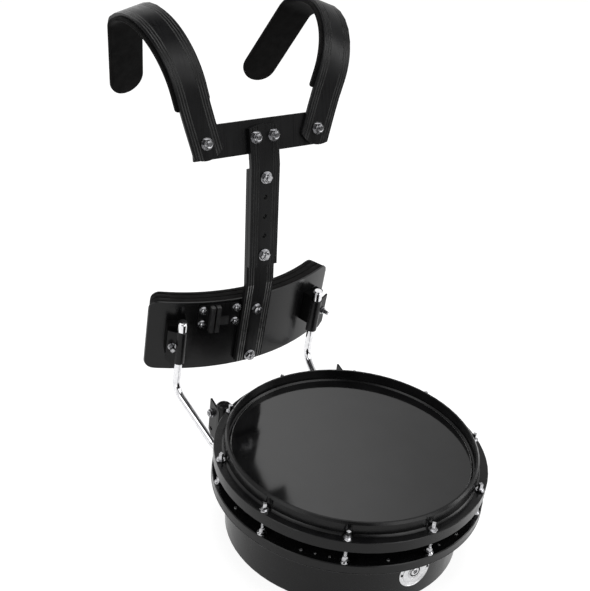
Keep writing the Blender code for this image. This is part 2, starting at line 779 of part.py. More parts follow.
def make_receiver(side, name):
    """A foot on the shell, a web out to a tube behind the hoop, and an ear for the clamp screw."""
    axis = receiver_axis(side)
    outward = axis.normalized()
    along = Vector((0, 0, 1)).cross(outward)
    half = RECEIVER_FOOT_WIDTH / 2
    foot_face = SHELL_RADIUS + SEAT_GAP
    outline = [(-half, foot_face + RECEIVER_FOOT_THICKNESS)]
    count = 6
    for i in range(count + 1):
        x = -half + 2 * half * i / count
        outline.append((x, math.sqrt(foot_face**2 - x * x)))
    outline += [(half, foot_face + RECEIVER_FOOT_THICKNESS)]
    web = RECEIVER_WEB_WIDTH / 2
    outline += [(web, foot_face + RECEIVER_FOOT_THICKNESS), (web, RECEIVER_RADIUS)]
    outline += [(-web, RECEIVER_RADIUS), (-web, foot_face + RECEIVER_FOOT_THICKNESS)]
    height = RECEIVER_FOOT_TOP - RECEIVER_FOOT_LOW
    foot = flat_curve(name, outline, height, BLACK_METAL)
    middle = (RECEIVER_FOOT_TOP + RECEIVER_FOOT_LOW) / 2
    placed(foot, frame((0, 0, middle), along, outward, (0, 0, 1)))
    foot = as_mesh(foot)
    boolean(foot, make_tube(axis, name + "_tube"), "UNION")
    boolean(foot, make_ear(side, axis, name + "_ear"), "UNION")
    bore = RECEIVER_TUBE_RADIUS - RECEIVER_TUBE_WALL
    low = RECEIVER_FOOT_LOW - RECEIVER_TUBE_WALL
    boolean(foot, cylinders(name + "_bore", [axis.to_2d()], bore, low, RECEIVER_TUBE_TOP - SEAT_GAP, 24))
    screw_hole = SCREW_RADIUS + ROD_CLEARANCE
    screw_axis = receiver_screw_frame(side)
    drop = (0, CLAMP_EAR_LOW + EAR_HOLE_RISE - screw_axis.translation.z)
    reach = 2 * CLAMP_EAR_THICKNESS
    hole = cylinders(name + "_hole", [(0, 0), drop], screw_hole, -reach, reach, 12, screw_axis)
    return boolean(foot, hole)


def make_tube(axis, name):
    """The receiver's tube with a domed top, as a solid."""
    rounds = [
        (RECEIVER_TUBE_RADIUS, RECEIVER_TUBE_LOW),
        (RECEIVER_TUBE_RADIUS, RECEIVER_TUBE_TOP),
        (0.93 * RECEIVER_TUBE_RADIUS, RECEIVER_TUBE_TOP + 0.5 * RECEIVER_CAP_RISE),
        (0.70 * RECEIVER_TUBE_RADIUS, RECEIVER_TUBE_TOP + 0.85 * RECEIVER_CAP_RISE),
        (0.35 * RECEIVER_TUBE_RADIUS, RECEIVER_TUBE_TOP + RECEIVER_CAP_RISE),
    ]
    sections = [raised(round_section(radius, 24), height) for radius, height in rounds]
    tube = hide_as_cutter(add_object(name, loft(sections), None, CUTTERS))
    tube.location = axis
    return tube


def make_ear(side, axis, name):
    """The flat ear beside the tube that carries the clamp screw: Y and Z outline, extruded along X."""
    ear_x = axis.x + side * (RECEIVER_TUBE_RADIUS - SEAT_GAP - CLAMP_EAR_THICKNESS / 2)
    back = CLAMP_EAR_LENGTH
    outline = [
        (-CLAMP_EAR_FORWARD, CLAMP_EAR_LOW),
        (back - CLAMP_EAR_CHAMFER, CLAMP_EAR_LOW),
        (back, CLAMP_EAR_LOW + CLAMP_EAR_CHAMFER),
        (back, CLAMP_EAR_TOP),
        (-CLAMP_EAR_FORWARD, CLAMP_EAR_TOP - CLAMP_EAR_SLOPE),
    ]
    ear = flat_curve(name, outline, CLAMP_EAR_THICKNESS, None, CUTTERS)
    placed(ear, frame((ear_x, axis.y, 0), (0, 1, 0), (0, 0, 1), (1, 0, 0)))
    return hide_as_cutter(as_mesh(ear))


def receiver_screw_frame(side):
    """The clamp screw's place: its local Z points away from the drum's middle."""
    axis = receiver_axis(side)
    face_x = axis.x + side * (RECEIVER_TUBE_RADIUS - SEAT_GAP)
    y = axis.y + CLAMP_EAR_LENGTH - EAR_SCREW_INSET
    z = CLAMP_EAR_TOP - EAR_SCREW_BELOW_TOP
    return frame((face_x, y, z), (0, side, 0), (0, 0, 1), (side, 0, 0))


def make_bushing(side, name):
    """A plastic sleeve inside the receiver's tube."""
    outer = RECEIVER_TUBE_RADIUS - RECEIVER_TUBE_WALL - SEAT_GAP
    inner = JROD_RADIUS + TUBE_CLEARANCE
    top = RECEIVER_TUBE_TOP - 2 * SEAT_GAP
    profile = [
        (inner, top),
        (outer, top),
        (outer, RECEIVER_TUBE_LOW),
        (inner, RECEIVER_TUBE_LOW),
    ]
    bushing = turned(name, profile, PLASTIC, steps=24)
    bushing.location = receiver_axis(side)
    return bushing


def make_clamp_screw(name, matrix, inside):
    """A screw with a washer, collar and square key head. Z points out, and the washer seats at zero."""
    seat = SEAT_GAP
    washer_top = seat + SCREW_WASHER_THICKNESS
    collar_top = washer_top + SCREW_COLLAR_HEIGHT
    stud = round_section(SCREW_RADIUS)
    washer = round_section(SCREW_WASHER_RADIUS)
    collar = round_section(SCREW_COLLAR_RADIUS)
    square = polygon_section(SCREW_HEAD_SIDE / math.sqrt(2), 4)
    sections = [
        raised(stud, -inside),
        raised(stud, seat),
        raised(washer, seat),
        raised(washer, washer_top),
        raised(collar, washer_top),
        raised(collar, collar_top),
        raised(square, collar_top),
        raised(square, SCREW_STICK_OUT),
    ]
    return placed(add_object(name, loft(sections), CHROME), matrix)


def make_ear_nut(name, matrix, inside):
    """A nut on a washer, with its stud through the receiver's ear. The washer seats at zero."""
    washer_top = SEAT_GAP + SCREW_WASHER_THICKNESS
    hexagon_top = washer_top + EAR_NUT_HEIGHT
    hexagon = polygon_section(EAR_NUT_RADIUS, 6)
    stud = round_section(SCREW_RADIUS)
    washer = round_section(EAR_WASHER_RADIUS)
    sections = [
        raised(stud, -inside),
        raised(stud, SEAT_GAP),
        raised(washer, SEAT_GAP),
        raised(washer, washer_top),
        raised(hexagon, washer_top),
        raised(hexagon, hexagon_top - 0.2 * EAR_NUT_HEIGHT),
        raised([(0.85 * x, 0.85 * y) for x, y in hexagon], hexagon_top),
        raised(stud, hexagon_top),
        raised(stud, hexagon_top + EAR_STUD_STICK_OUT),
    ]
    return placed(add_object(name, loft(sections), CHROME), matrix)


def bend_points(before, corner, after, radius, steps=6):
    """Points of the arc that rounds a corner between two straight runs."""
    first = (before - corner).normalized()
    second = (after - corner).normalized()
    half_angle = first.angle(second) / 2
    run = radius / math.tan(half_angle)
    start = corner + first * run
    middle = corner + (first + second).normalized() * radius / math.sin(half_angle)
    normal = first.cross(second).normalized()
    turn = math.pi - 2 * half_angle
    arm = start - middle
    return [middle + Matrix.Rotation(-turn * i / steps, 3, normal) @ arm for i in range(steps + 1)]


PLATE_UP = Vector((0, -math.sin(math.radians(PLATE_LEAN)), math.cos(math.radians(PLATE_LEAN))))
PLATE_OUT = Vector((0, -math.cos(math.radians(PLATE_LEAN)), -math.sin(math.radians(PLATE_LEAN))))
PLATE_MIDDLE = Vector((0, PLATE_FRONT_Y, PLATE_MIDDLE_HEIGHT))


def plate_frame(phi):
    """A frame on the belly plate's front: X along it, Y up it and Z out of it, phi degrees round it."""
    angle = math.radians(phi)
    across = Vector((1, 0, 0))
    normal = PLATE_OUT * math.cos(angle) + across * math.sin(angle)
    tangent = across * math.cos(angle) - PLATE_OUT * math.sin(angle)
    centre = PLATE_MIDDLE - PLATE_OUT * PLATE_RADIUS
    return frame(centre + normal * PLATE_RADIUS, tangent, PLATE_UP, normal)


CLAMP_PHI = math.degrees(math.asin(JROD_HALF_SPACING / (PLATE_RADIUS + CLAMP_ROD_OFFSET)))


def clamp_frame(side):
    return plate_frame(side * CLAMP_PHI)


def jrod_axis_point(side, height):
    """The point of the rod's straight upper run at this height."""
    matrix = clamp_frame(side)
    start = matrix @ Vector((0, 0, CLAMP_ROD_OFFSET))
    return start + PLATE_UP * ((height - start.z) / PLATE_UP.z)


def make_jrod(side, name):
    top = jrod_axis_point(side, JROD_TOP_HEIGHT)
    upper_corner = jrod_axis_point(side, JROD_BEND_HEIGHT)
    hook_corner = receiver_axis(side) + Vector((0, 0, JROD_HOOK_HEIGHT))
    tip = receiver_axis(side) + Vector((0, 0, JROD_TIP_HEIGHT))
    points = [top]
    points += bend_points(top, upper_corner, hook_corner, JROD_BEND_RADIUS)
    points += bend_points(upper_corner, hook_corner, tip, JROD_HOOK_RADIUS, 8)
    points += [tip]
    rod = as_mesh(tube_curve(name, points, JROD_RADIUS, CHROME))
    seat = CLAMP_LOW + CLAMP_HEIGHT + SEAT_GAP
    turn = clamp_frame(side) @ Matrix.Translation((0, seat, CLAMP_ROD_OFFSET))
    turn = turn @ Matrix.Rotation(-math.pi / 2, 4, "X")
    collar = cylinders(name + "_collar", [(0, 0)], JROD_COLLAR_RADIUS, 0, JROD_COLLAR_HEIGHT, 24, turn)
    return smooth(boolean(rod, collar, "UNION"))


# Belly plate, pad and what is fixed to them

def plate_sheet(name, outer_radius, thickness, half_width, height, corner, material):
    """A curved sheet with round corners, in the frame of the plate's middle."""
    half_turn = math.asin(half_width / outer_radius) + math.radians(2)
    mesh = bpy.data.meshes.new(name)
    start = (-outer_radius * math.sin(half_turn), outer_radius * (math.cos(half_turn) - 1))
    low = (start[0], -height / 2 - corner, start[1])
    high = (start[0], height / 2 + corner, start[1])
    mesh.from_pydata([low, high], [(0, 1)], [])
    sheet = add_object(name, mesh, material)
    screw = sheet.modifiers.new("curve", "SCREW")
    screw.axis = "Y"
    screw.object = plate_centre(outer_radius)
    screw.angle = 2 * half_turn
    screw.steps = 20
    screw.render_steps = 20
    screw.use_merge_vertices = True
    screw.merge_threshold = TOLERANCE
    screw.use_normal_flip = False
    solid = sheet.modifiers.new("thickness", "SOLIDIFY")
    solid.thickness = thickness
    solid.offset = 1
    placed(sheet, frame(PLATE_MIDDLE, (1, 0, 0), PLATE_UP, PLATE_OUT))
    outline = rounded_outline(half_width, -height / 2, height / 2, corner)
    trim = flat_curve(name + "_outline", outline, outer_radius, None, CUTTERS)
    placed(trim, sheet.matrix_world)
    trim = hide_as_cutter(as_mesh(trim))
    return boolean(sheet, trim, "INTERSECT")


def plate_centre(radius):
    """The empty that the plate's curve turns about."""
    name = "plate_curve_centre"
    if name in bpy.data.objects:
        return bpy.data.objects[name]
    empty = bpy.data.objects.new(name, None)
    CUTTERS.objects.link(empty)
    matrix = frame(PLATE_MIDDLE - PLATE_OUT * radius, (1, 0, 0), PLATE_UP, PLATE_OUT)
    return placed(empty, matrix)


def make_belly_pad():
    """A foam cushion that follows the plate's back, crowned towards the player, with drawn-in edges."""
    half_turn = math.asin(PLATE_HALF_WIDTH / PLATE_RADIUS)
    front_radius = PLATE_RADIUS - PLATE_THICKNESS - SEAT_GAP
    columns = [-1, -0.97, -0.86, -0.55, -0.2, 0.2, 0.55, 0.86, 0.97, 1]
    rows = [-1, -0.93, -0.6, 0, 0.6, 0.93, 1]
    verts = []
    index = {}
    for side in range(2):
        for i, u in enumerate(columns):
            for j, v in enumerate(rows):
                crown = PAD_CROWN * (1 - u * u) * (1 - v * v)
                depth = PAD_THICKNESS + crown if side else 0
                radius = front_radius - depth
                draw = 0.985 if side else 1
                angle = draw * u * half_turn
                height = draw * v * PLATE_HEIGHT / 2
                index[side, i, j] = len(verts)
                verts.append(
                    (radius * math.sin(angle), height, radius * math.cos(angle) - PLATE_RADIUS)
                )
    faces = []
    for side in range(2):
        for i in range(len(columns) - 1):
            for j in range(len(rows) - 1):
                faces.append([index[side, a, b] for a, b in ((i, j), (i + 1, j), (i + 1, j + 1), (i, j + 1))])
    rim = [(i, 0) for i in range(len(columns))]
    rim += [(len(columns) - 1, j) for j in range(1, len(rows))]
    rim += [(i, len(rows) - 1) for i in range(len(columns) - 2, -1, -1)]
    rim += [(0, j) for j in range(len(rows) - 2, 0, -1)]
    for k, first in enumerate(rim):
        second = rim[(k + 1) % len(rim)]
        faces.append([index[0, *first], index[0, *second], index[1, *second], index[1, *first]])
    pad = add_object("belly_pad", mesh_from(verts, faces), FOAM)
    placed(pad, frame(PLATE_MIDDLE, (1, 0, 0), PLATE_UP, PLATE_OUT))
    round_off = pad.modifiers.new("round", "SUBSURF")
    round_off.levels = 1
    round_off.render_levels = 1
    return smooth(pad, 60)


def clamp_low_high():
    return CLAMP_LOW, CLAMP_LOW + CLAMP_HEIGHT


def make_clamp_base(side, name):
    """A block on the belly plate with a groove that the rod lies in."""
    high = clamp_low_high()[1]
    inboard = -side * CLAMP_BASE_INBOARD
    outboard = side * CLAMP_FLANGE_REACH
    start = SEAT_GAP
    box = box_mesh(
        (min(inboard, outboard), CLAMP_BASE_LOW, start),
        (max(inboard, outboard), CLAMP_BASE_TOP, CLAMP_BASE_DEPTH),
    )
    base = placed(add_object(name, box, PLASTIC), clamp_frame(side))
    turn = clamp_frame(side) @ Matrix.Translation((0, 0, CLAMP_ROD_OFFSET))
    turn = turn @ Matrix.Rotation(-math.pi / 2, 4, "X")
    groove = JROD_RADIUS + SEAT_GAP
    reach = CLAMP_BASE_TOP - CLAMP_BASE_LOW
    boolean(base, cylinders(name + "_groove", [(0, 0)], groove, -2 * reach, 2 * reach, 24, turn))
    wide = JROD_COLLAR_RADIUS + SEAT_GAP
    boolean(base, cylinders(name + "_collar_room", [(0, 0)], wide, high - SEAT_GAP, 2 * reach, 24, turn))
    screw = clamp_screw_frame(side)
    hole = SCREW_RADIUS + ROD_CLEARANCE
    deep = CLAMP_FLANGE_FACE - CLAMP_BASE_DEPTH / 3
    return boolean(base, cylinders(name + "_hole", [(0, 0)], hole, -deep, SCREW_STICK_OUT, 12, screw))


def clamp_screw_frame(side):
    place = (side * CLAMP_SCREW_REACH, CLAMP_SCREW_RISE, CLAMP_FLANGE_FACE)
    return clamp_frame(side) @ Matrix.Translation(place)


def make_clamp_plate(side, name):
    """A strap bent round the rod's front, with a flange for the clamp screw on its outboard side."""
    inner = JROD_RADIUS + SEAT_GAP
    outer = inner + CLAMP_PLATE_THICKNESS
    face = CLAMP_FLANGE_FACE - CLAMP_ROD_OFFSET
    back = face - CLAMP_PLATE_THICKNESS
    foot = CLAMP_BASE_DEPTH + SEAT_GAP - CLAMP_ROD_OFFSET
    steps = 10
    outline = [(CLAMP_FLANGE_REACH, face)]
    start = math.asin(face / outer)
    for i in range(steps + 1):
        angle = start + (math.pi - start) * i / steps
        outline.append((outer * math.cos(angle), outer * math.sin(angle)))
    outline += [(-outer, foot), (-inner, foot)]
    end = math.asin(back / inner)
    for i in range(steps + 1):
        angle = math.pi - (math.pi - end) * i / steps
        outline.append((inner * math.cos(angle), inner * math.sin(angle)))
    outline += [(CLAMP_FLANGE_REACH, back)]
    if side < 0:
        outline = [(-x, y) for x, y in reversed(outline)]
    low, high = clamp_low_high()
    plate = flat_curve(name, outline, CLAMP_HEIGHT + CLAMP_HORN, BLACK_METAL)
    middle = (low + high + CLAMP_HORN) / 2
    lift = Matrix.Translation((0, middle, CLAMP_ROD_OFFSET)) @ Matrix.Rotation(math.pi / 2, 4, "X")
    placed(plate, clamp_frame(side) @ lift)
    plate = as_mesh(plate)
    reach = CLAMP_FLANGE_REACH
    top = [(-reach, high), (outer, high), (reach, high + CLAMP_HORN)]
    top += [(reach, high + reach), (-reach, high + reach)]
    corner = [(reach - CLAMP_CHAMFER, low), (reach, low - reach)]
    corner += [(2 * reach, low), (reach, low + CLAMP_CHAMFER)]
    for word, trim in (("top", top), ("corner", corner)):
        cutter = flat_curve(f"{name}_{word}", [(side * x, y) for x, y in trim], 2 * reach, None, CUTTERS)
        placed(cutter, clamp_frame(side) @ Matrix.Translation((0, 0, CLAMP_ROD_OFFSET)))
        boolean(plate, hide_as_cutter(as_mesh(cutter)))
    screw = clamp_screw_frame(side)
    hole = SCREW_RADIUS + ROD_CLEARANCE
    deep = 2 * CLAMP_PLATE_THICKNESS
    return boolean(plate, cylinders(name + "_hole", [(0, 0)], hole, -deep, SCREW_STICK_OUT, 12, screw))


def make_accessory_bracket():
    """A flat bracket with two standing ribs and four nuts, left of the bar."""
    matrix = plate_frame(-BRACKET_PHI)
    sag = BRACKET_WIDTH**2 / 8 / PLATE_RADIUS
    low = SEAT_GAP
    half = BRACKET_WIDTH / 2
    outline = rounded_outline(half, -BRACKET_HEIGHT / 2, BRACKET_HEIGHT / 2, 2 * BRACKET_THICKNESS, 3)
    sheet = flat_curve("accessory_bracket", outline, BRACKET_THICKNESS, BLACK_METAL)
    lift = Matrix.Translation((0, BRACKET_RISE, low + BRACKET_THICKNESS / 2))
    placed(sheet, matrix @ lift)
    sheet = as_mesh(sheet)
    top = low + BRACKET_THICKNESS
    for k, start in enumerate(BRACKET_RIB_STARTS):
        rib_low = (start, BRACKET_RIB_LOW, top - sag)
        rib_high = (start + BRACKET_RIB_WIDTH, BRACKET_RIB_TOP, top + BRACKET_RIB_DEPTH)
        boolean(sheet, box_cutter(f"bracket_rib_{k}", rib_low, rib_high, matrix), "UNION")
    block_low = (BRACKET_BLOCK_START, BRACKET_BLOCK_LOW, low + BRACKET_THICKNESS / 2)
    block_high = (
        BRACKET_BLOCK_START + BRACKET_BLOCK_WIDTH,
        BRACKET_BLOCK_LOW + BRACKET_BLOCK_HEIGHT,
        top + BRACKET_BLOCK_DEPTH,
    )
    boolean(sheet, box_cutter("bracket_block", block_low, block_high, matrix), "UNION")
    for k, (x, z) in enumerate(((-1, -1), (-1, 1), (1, -1), (1, 1))):
        place = matrix @ Matrix.Translation((x * BRACKET_NUT_X, BRACKET_RISE + z * BRACKET_NUT_Z, top))
        nut = add_object(f"bracket_nut_{k}", lock_nut_mesh(-0.5 * BRACKET_THICKNESS, 0.75), None, CUTTERS)
        boolean(sheet, placed(hide_as_cutter(nut), place), "UNION")
    return sheet


# Bars and fasteners

def bar_section(thickness, width=BAR_WIDTH, grooves=3):
    """The bar's cross-section: X across it, Y towards its front, with this many grooves along each edge."""
    half = width / 2
    outline = [(-half, -thickness), (half, -thickness), (half, -EDGE_FLAT), (half - EDGE_FLAT, 0)]
    middles = [half - (k + 1) * GROOVE_EDGE_STEP for k in range(grooves)]
    middles += [-m for m in reversed(middles)]
    for middle in middles:
        outline.append((middle + GROOVE_WIDTH / 2, 0))
        outline.append((middle, -GROOVE_DEPTH))
        outline.append((middle - GROOVE_WIDTH / 2, 0))
    outline += [(EDGE_FLAT - half, 0), (-half, -EDGE_FLAT)]
    return outline


def swept_bar(name, section, path, material):
    """A bar through (distance along, distance back, angle) stations of its front face's line."""
    sections = []
    for along, back, angle in path:
        c = math.cos(angle)
        s = math.sin(angle)
        sections.append([(x, along + y * s, -back + y * c) for x, y in section])
    return add_object(name, loft(sections), material)


def mitred(points):
    """Stations of a bent line: each (along, back) point with the mean angle of its two runs."""
    angles = []
    for first, second in zip(points, points[1:]):
        angles.append(math.atan2(second[1] - first[1], second[0] - first[0]))
    stations = []
    for i, (along, back) in enumerate(points):
        before = angles[max(i - 1, 0)]
        after = angles[min(i, len(angles) - 1)]
        stations.append((along, back, (before + after) / 2))
    return stations


def front_line(height):
    """Y of the upper bar's front at this height: it leans back a little, and more above the bend."""
    lean = math.tan(math.radians(UPPER_BAR_LEAN))
    if height > BEND_HEIGHT:
        return front_line(BEND_HEIGHT) + (height - BEND_HEIGHT) * math.tan(math.radians(CROSSBAR_LEAN))
    return KINK_Y - BAR_THICKNESS - SEAT_GAP + (height - KINK_HEIGHT) * lean


LOWER_FRONT_OFFSET = PLATE_FRONT_Y - BAR_THICKNESS - SEAT_GAP
KINK_HEIGHT = 0.270
KINK_Y = LOWER_FRONT_OFFSET - (KINK_HEIGHT - PLATE_MIDDLE_HEIGHT) * math.tan(math.radians(PLATE_LEAN))


def bar_frame(origin):
    """Bars are built with Y up and Z forward."""
    return frame(origin, (1, 0, 0), (0, 0, 1), (0, -1, 0))


def drilled(obj, places, matrix, depth):
    hole = SHANK_RADIUS + ROD_CLEARANCE
    drill = cylinders(obj.name + "_drill", places, hole, -2 * depth, depth, 12, matrix)
    return boolean(obj, drill)


def end_trimmer(name, width, round_height, matrix, depth):
    """A cutter that leaves a bar's end arched: its local Y points out of the end."""
    half = width / 2
    outer = half + 4 * EDGE_FLAT
    arc = []
    steps = 10
    for i in range(steps + 1):
        x = half * (1 - 2 * i / steps)
        y = -round_height * (x / half) ** 2
        if round_height >= half:
            y = math.sqrt(max(half * half - x * x, 0)) - half
        arc.append((x, y))
    outline = [(half, -2 * round_height), (outer, -2 * round_height), (outer, 2 * outer)]
    outline += [(-outer, 2 * outer), (-outer, -2 * round_height), (-half, -2 * round_height)]
    outline += list(reversed(arc))
    trimmer = flat_curve(name, outline, depth, None, CUTTERS)
    placed(trimmer, matrix)
    return hide_as_cutter(as_mesh(trimmer))


def make_lower_bar():
    """The bar behind: flat on the belly plate below the kink, leaning back above it."""
    lean = math.tan(math.radians(UPPER_BAR_LEAN))
    plate_lean = math.tan(math.radians(PLATE_LEAN))
    bottom_y = KINK_Y + (KINK_HEIGHT - LOWER_BAR_LOW) * plate_lean
    top_y = KINK_Y + (LOWER_BAR_TOP - KINK_HEIGHT) * lean
    points = [(LOWER_BAR_LOW, bottom_y), (KINK_HEIGHT, KINK_Y), (LOWER_BAR_TOP, top_y)]
    bar = swept_bar("lower_bar", bar_section(BAR_THICKNESS), mitred(points), BLACK_METAL)
    placed(bar, bar_frame((0, 0, 0)))
    end = frame((0, bottom_y, LOWER_BAR_LOW), (-1, 0, 0), -PLATE_UP, PLATE_OUT)
    boolean(bar, end_trimmer("lower_end", BAR_WIDTH, 3 * EDGE_FLAT, end, 4 * BAR_THICKNESS))
    holes = [(0, k * HOLE_PITCH) for k in range(-4, 1)]
    drilled(bar, holes, top_bolt_frame(), 2 * BAR_THICKNESS)
    plates = [(0, k * PLATE_BOLT_SPACING / 2) for k in (-1, 1)]
    hole = SHANK_RADIUS + ROD_CLEARANCE
    place = plate_bolt_frame()
    boolean(bar, cylinders("plate_bolt_drill", plates, hole, -DRILL_REACH, DRILL_REACH, 12, place))
    return bar


def top_bolt_frame():
    """The upper fixing bolt's axis on the upper bar's front, Z forward and Y up the bar."""
    lean = math.radians(UPPER_BAR_LEAN)
    up = Vector((0, math.sin(lean), math.cos(lean)))
    out = Vector((0, -math.cos(lean), math.sin(lean)))
    return frame((0, front_line(TOP_BOLT_HEIGHT), TOP_BOLT_HEIGHT), (1, 0, 0), up, out)


def plate_bolt_frame():
    start = PLATE_MIDDLE + PLATE_OUT * (BAR_THICKNESS + SEAT_GAP)
    return frame(start, (1, 0, 0), PLATE_UP, PLATE_OUT)


def crossbar_frame(offset=0.0):
    """The crossbar's middle, Z forward and Y up it, offset forward of its front face."""
    lean = math.radians(CROSSBAR_LEAN)
    up = Vector((0, math.sin(lean), math.cos(lean)))
    out = Vector((0, -math.cos(lean), math.sin(lean)))
    behind = BAR_THICKNESS + SEAT_GAP
    middle = Vector((0, front_line(CROSSBAR_HEIGHT), CROSSBAR_HEIGHT)) - out * behind / math.cos(lean)
    return frame(middle + out * offset, (1, 0, 0), up, out)


def make_upper_bar():
    """The bar in front, bent back at the top to lie on the crossbar."""
    lean = math.radians(CROSSBAR_LEAN)
    top = CROSSBAR_HEIGHT + 0.36 * BAR_WIDTH * math.cos(lean)
    heights = [UPPER_BAR_LOW, BEND_HEIGHT, top]
    bar = swept_bar(
        "upper_bar", bar_section(BAR_THICKNESS), mitred([(h, front_line(h)) for h in heights]), BLACK_METAL
    )
    placed(bar, bar_frame((0, 0, 0)))
    up = Vector((0, math.sin(lean), math.cos(lean)))
    out = Vector((0, -math.cos(lean), math.sin(lean)))
    end = frame((0, front_line(top), top), (1, 0, 0), up, out)
    boolean(bar, end_trimmer("upper_end", BAR_WIDTH, 6 * EDGE_FLAT, end, 4 * BAR_THICKNESS))
    drilled(bar, [(0, k * HOLE_PITCH) for k in range(-4, 1)], top_bolt_frame(), 2 * BAR_THICKNESS)
    bolts = [(k * CROSSBAR_BOLT_SPACING / 2, 0) for k in (-1, 1)]
    hole = SHANK_RADIUS + ROD_CLEARANCE
    place = crossbar_frame()
    return boolean(bar, cylinders("upper_bolt_drill", bolts, hole, -DRILL_REACH, DRILL_REACH, 12, place))


def make_crossbar():
    outline = bar_section(CROSSBAR_THICKNESS, grooves=0)
    sections = []
    for x in (-CROSSBAR_HALF_LENGTH, CROSSBAR_HALF_LENGTH):
        sections.append([(x, -across, out) for across, out in outline])
    bar = placed(add_object("crossbar", loft(sections), BLACK_METAL), crossbar_frame())
    places = [(k * CROSSBAR_BOLT_SPACING / 2, 0) for k in (-1, 1)]
    places += [(k * ARM_PIVOT_X, 0) for k in (-1, 1)]
    hole = SHANK_RADIUS + ROD_CLEARANCE
    place = crossbar_frame()
    return boolean(bar, cylinders("crossbar_drill", places, hole, -DRILL_REACH, DRILL_REACH, 12, place))


def arm_line(offset=0.0, start=0.0):
    """Stations of the arm from its pivot up over the shoulder, offset behind its front face."""
    stations = []
    along = -ARM_BELOW_PIVOT
    back = 0.0
    angle = 0.0
    runs = [
        (ARM_BELOW_PIVOT + ARM_STRAIGHT, 0, 1),
        (0, -ARM_HOLLOW_TURN, 2),
        (0, ARM_SHOULDER_TURN, 10),
        (0, ARM_BACK_TURN, 4),
        (ARM_TAIL, 0, 1),
    ]
    radii = [0, -ARM_HOLLOW_RADIUS, ARM_SHOULDER_RADIUS, ARM_BACK_RADIUS, 0]
    stations.append((along, back, angle))
    for (length, turn, steps), radius in zip(runs, radii):
        for _ in range(steps):
            step_turn = math.radians(turn) / steps
            step = length / steps if length else 2 * radius * math.sin(step_turn / 2)
            along += step * math.cos(angle + step_turn / 2)
            back += step * math.sin(angle + step_turn / 2)
            angle += step_turn
            stations.append((along, back, angle))
    if start:
        stations = begin_at(stations, start)
    return [(a - offset * math.sin(t), b + offset * math.cos(t), t) for a, b, t in stations]


def begin_at(stations, start):
    """The stations from this distance along, with the first one set between its neighbours."""
    later = [station for station in stations if station[0] > start or station[2] > math.pi / 2]
    before = stations[len(stations) - len(later) - 1]
    share = (start - before[0]) / (later[0][0] - before[0])
    first = tuple(a + share * (b - a) for a, b in zip(before, later[0]))
    return [first] + later


def arm_frame(side, spread):
    """The arm's pivot: Z forward, Y along the arm, which leans outward by its spread."""
    turn = Matrix.Rotation(math.radians(-side * spread), 4, "Z")
    pivot = crossbar_frame(ARM_THICKNESS + SEAT_GAP) @ Matrix.Translation((side * ARM_PIVOT_X, 0, 0))
    return pivot @ turn


def make_arm(side, name, spread):
    bar = swept_bar(name, bar_section(ARM_THICKNESS), arm_line(), BLACK_METAL)
    matrix = arm_frame(side, spread)
    placed(bar, matrix)
    along, back, angle = arm_line()[-1]
    tail = Vector((0, math.cos(angle), -math.sin(angle)))
    front = Vector((0, math.sin(angle), math.cos(angle)))
    end = frame((0, along, -back), (1, 0, 0), tail, front)
    boolean(bar, end_trimmer(name + "_tail_end", BAR_WIDTH, BAR_WIDTH / 2, matrix @ end, 4 * ARM_THICKNESS))
    foot = frame((0, -ARM_BELOW_PIVOT, 0), (-1, 0, 0), (0, -1, 0), (0, 0, 1))
    boolean(bar, end_trimmer(name + "_foot_end", BAR_WIDTH, ARM_CORNER, matrix @ foot, 4 * ARM_THICKNESS))
    hole = SHANK_RADIUS + ROD_CLEARANCE
    return boolean(bar, cylinders(name + "_drill", [(0, 0)], hole, -DRILL_REACH, DRILL_REACH, 12, matrix))


def make_shoulder_pad(side, name, spread):
    """A foam strip under the arm, wider than it, with a crowned face and a round end."""
    half = SHOULDER_PAD_WIDTH / 2
    stations = arm_line(ARM_THICKNESS + SEAT_GAP, SHOULDER_PAD_START)
    along, back, angle = stations[-1]
    tail_start = stations[-2]
    extra = half - BAR_WIDTH / 2
    rings = [(stations[0], 0.97, 0.6), (stations[0], 1, 1)]
    first = stations[0]
    rings[1] = ((first[0] + 2 * EDGE_FLAT, first[1], first[2]), 1, 1)
    rings += [(station, 1, 1) for station in stations[1:-1]]
    length = ARM_TAIL + extra
    for share in (0.5, 1 - half / length):
        rings.append((advance(tail_start, share * length), 1, 1))
    for turn in (25, 45, 62, 76, 85):
        reach = length - half + half * math.sin(math.radians(turn))
        rings.append((advance(tail_start, reach), math.cos(math.radians(turn)), 1))
    sections = []
    for (a, b, t), width, thick in rings:
        ring = []
        depth = SHOULDER_PAD_THICKNESS * (0.5 + 0.5 * thick)
        edge = half * width
        for x, y in (
            (-0.92, 0), (0.92, 0), (1, -0.25), (1, -0.7), (0.86, -0.95),
            (0, -1), (-0.86, -0.95), (-1, -0.7), (-1, -0.25),
        ):
            out = y * depth
            ring.append((x * edge, a + out * math.sin(t), -b + out * math.cos(t)))
        sections.append(ring)
    pad = add_object(name, loft(sections), FOAM)
    placed(pad, arm_frame(side, spread))
    return smooth(pad, 50)


def advance(station, distance):
    along, back, angle = station
    return (along + distance * math.cos(angle), back + distance * math.sin(angle), angle)


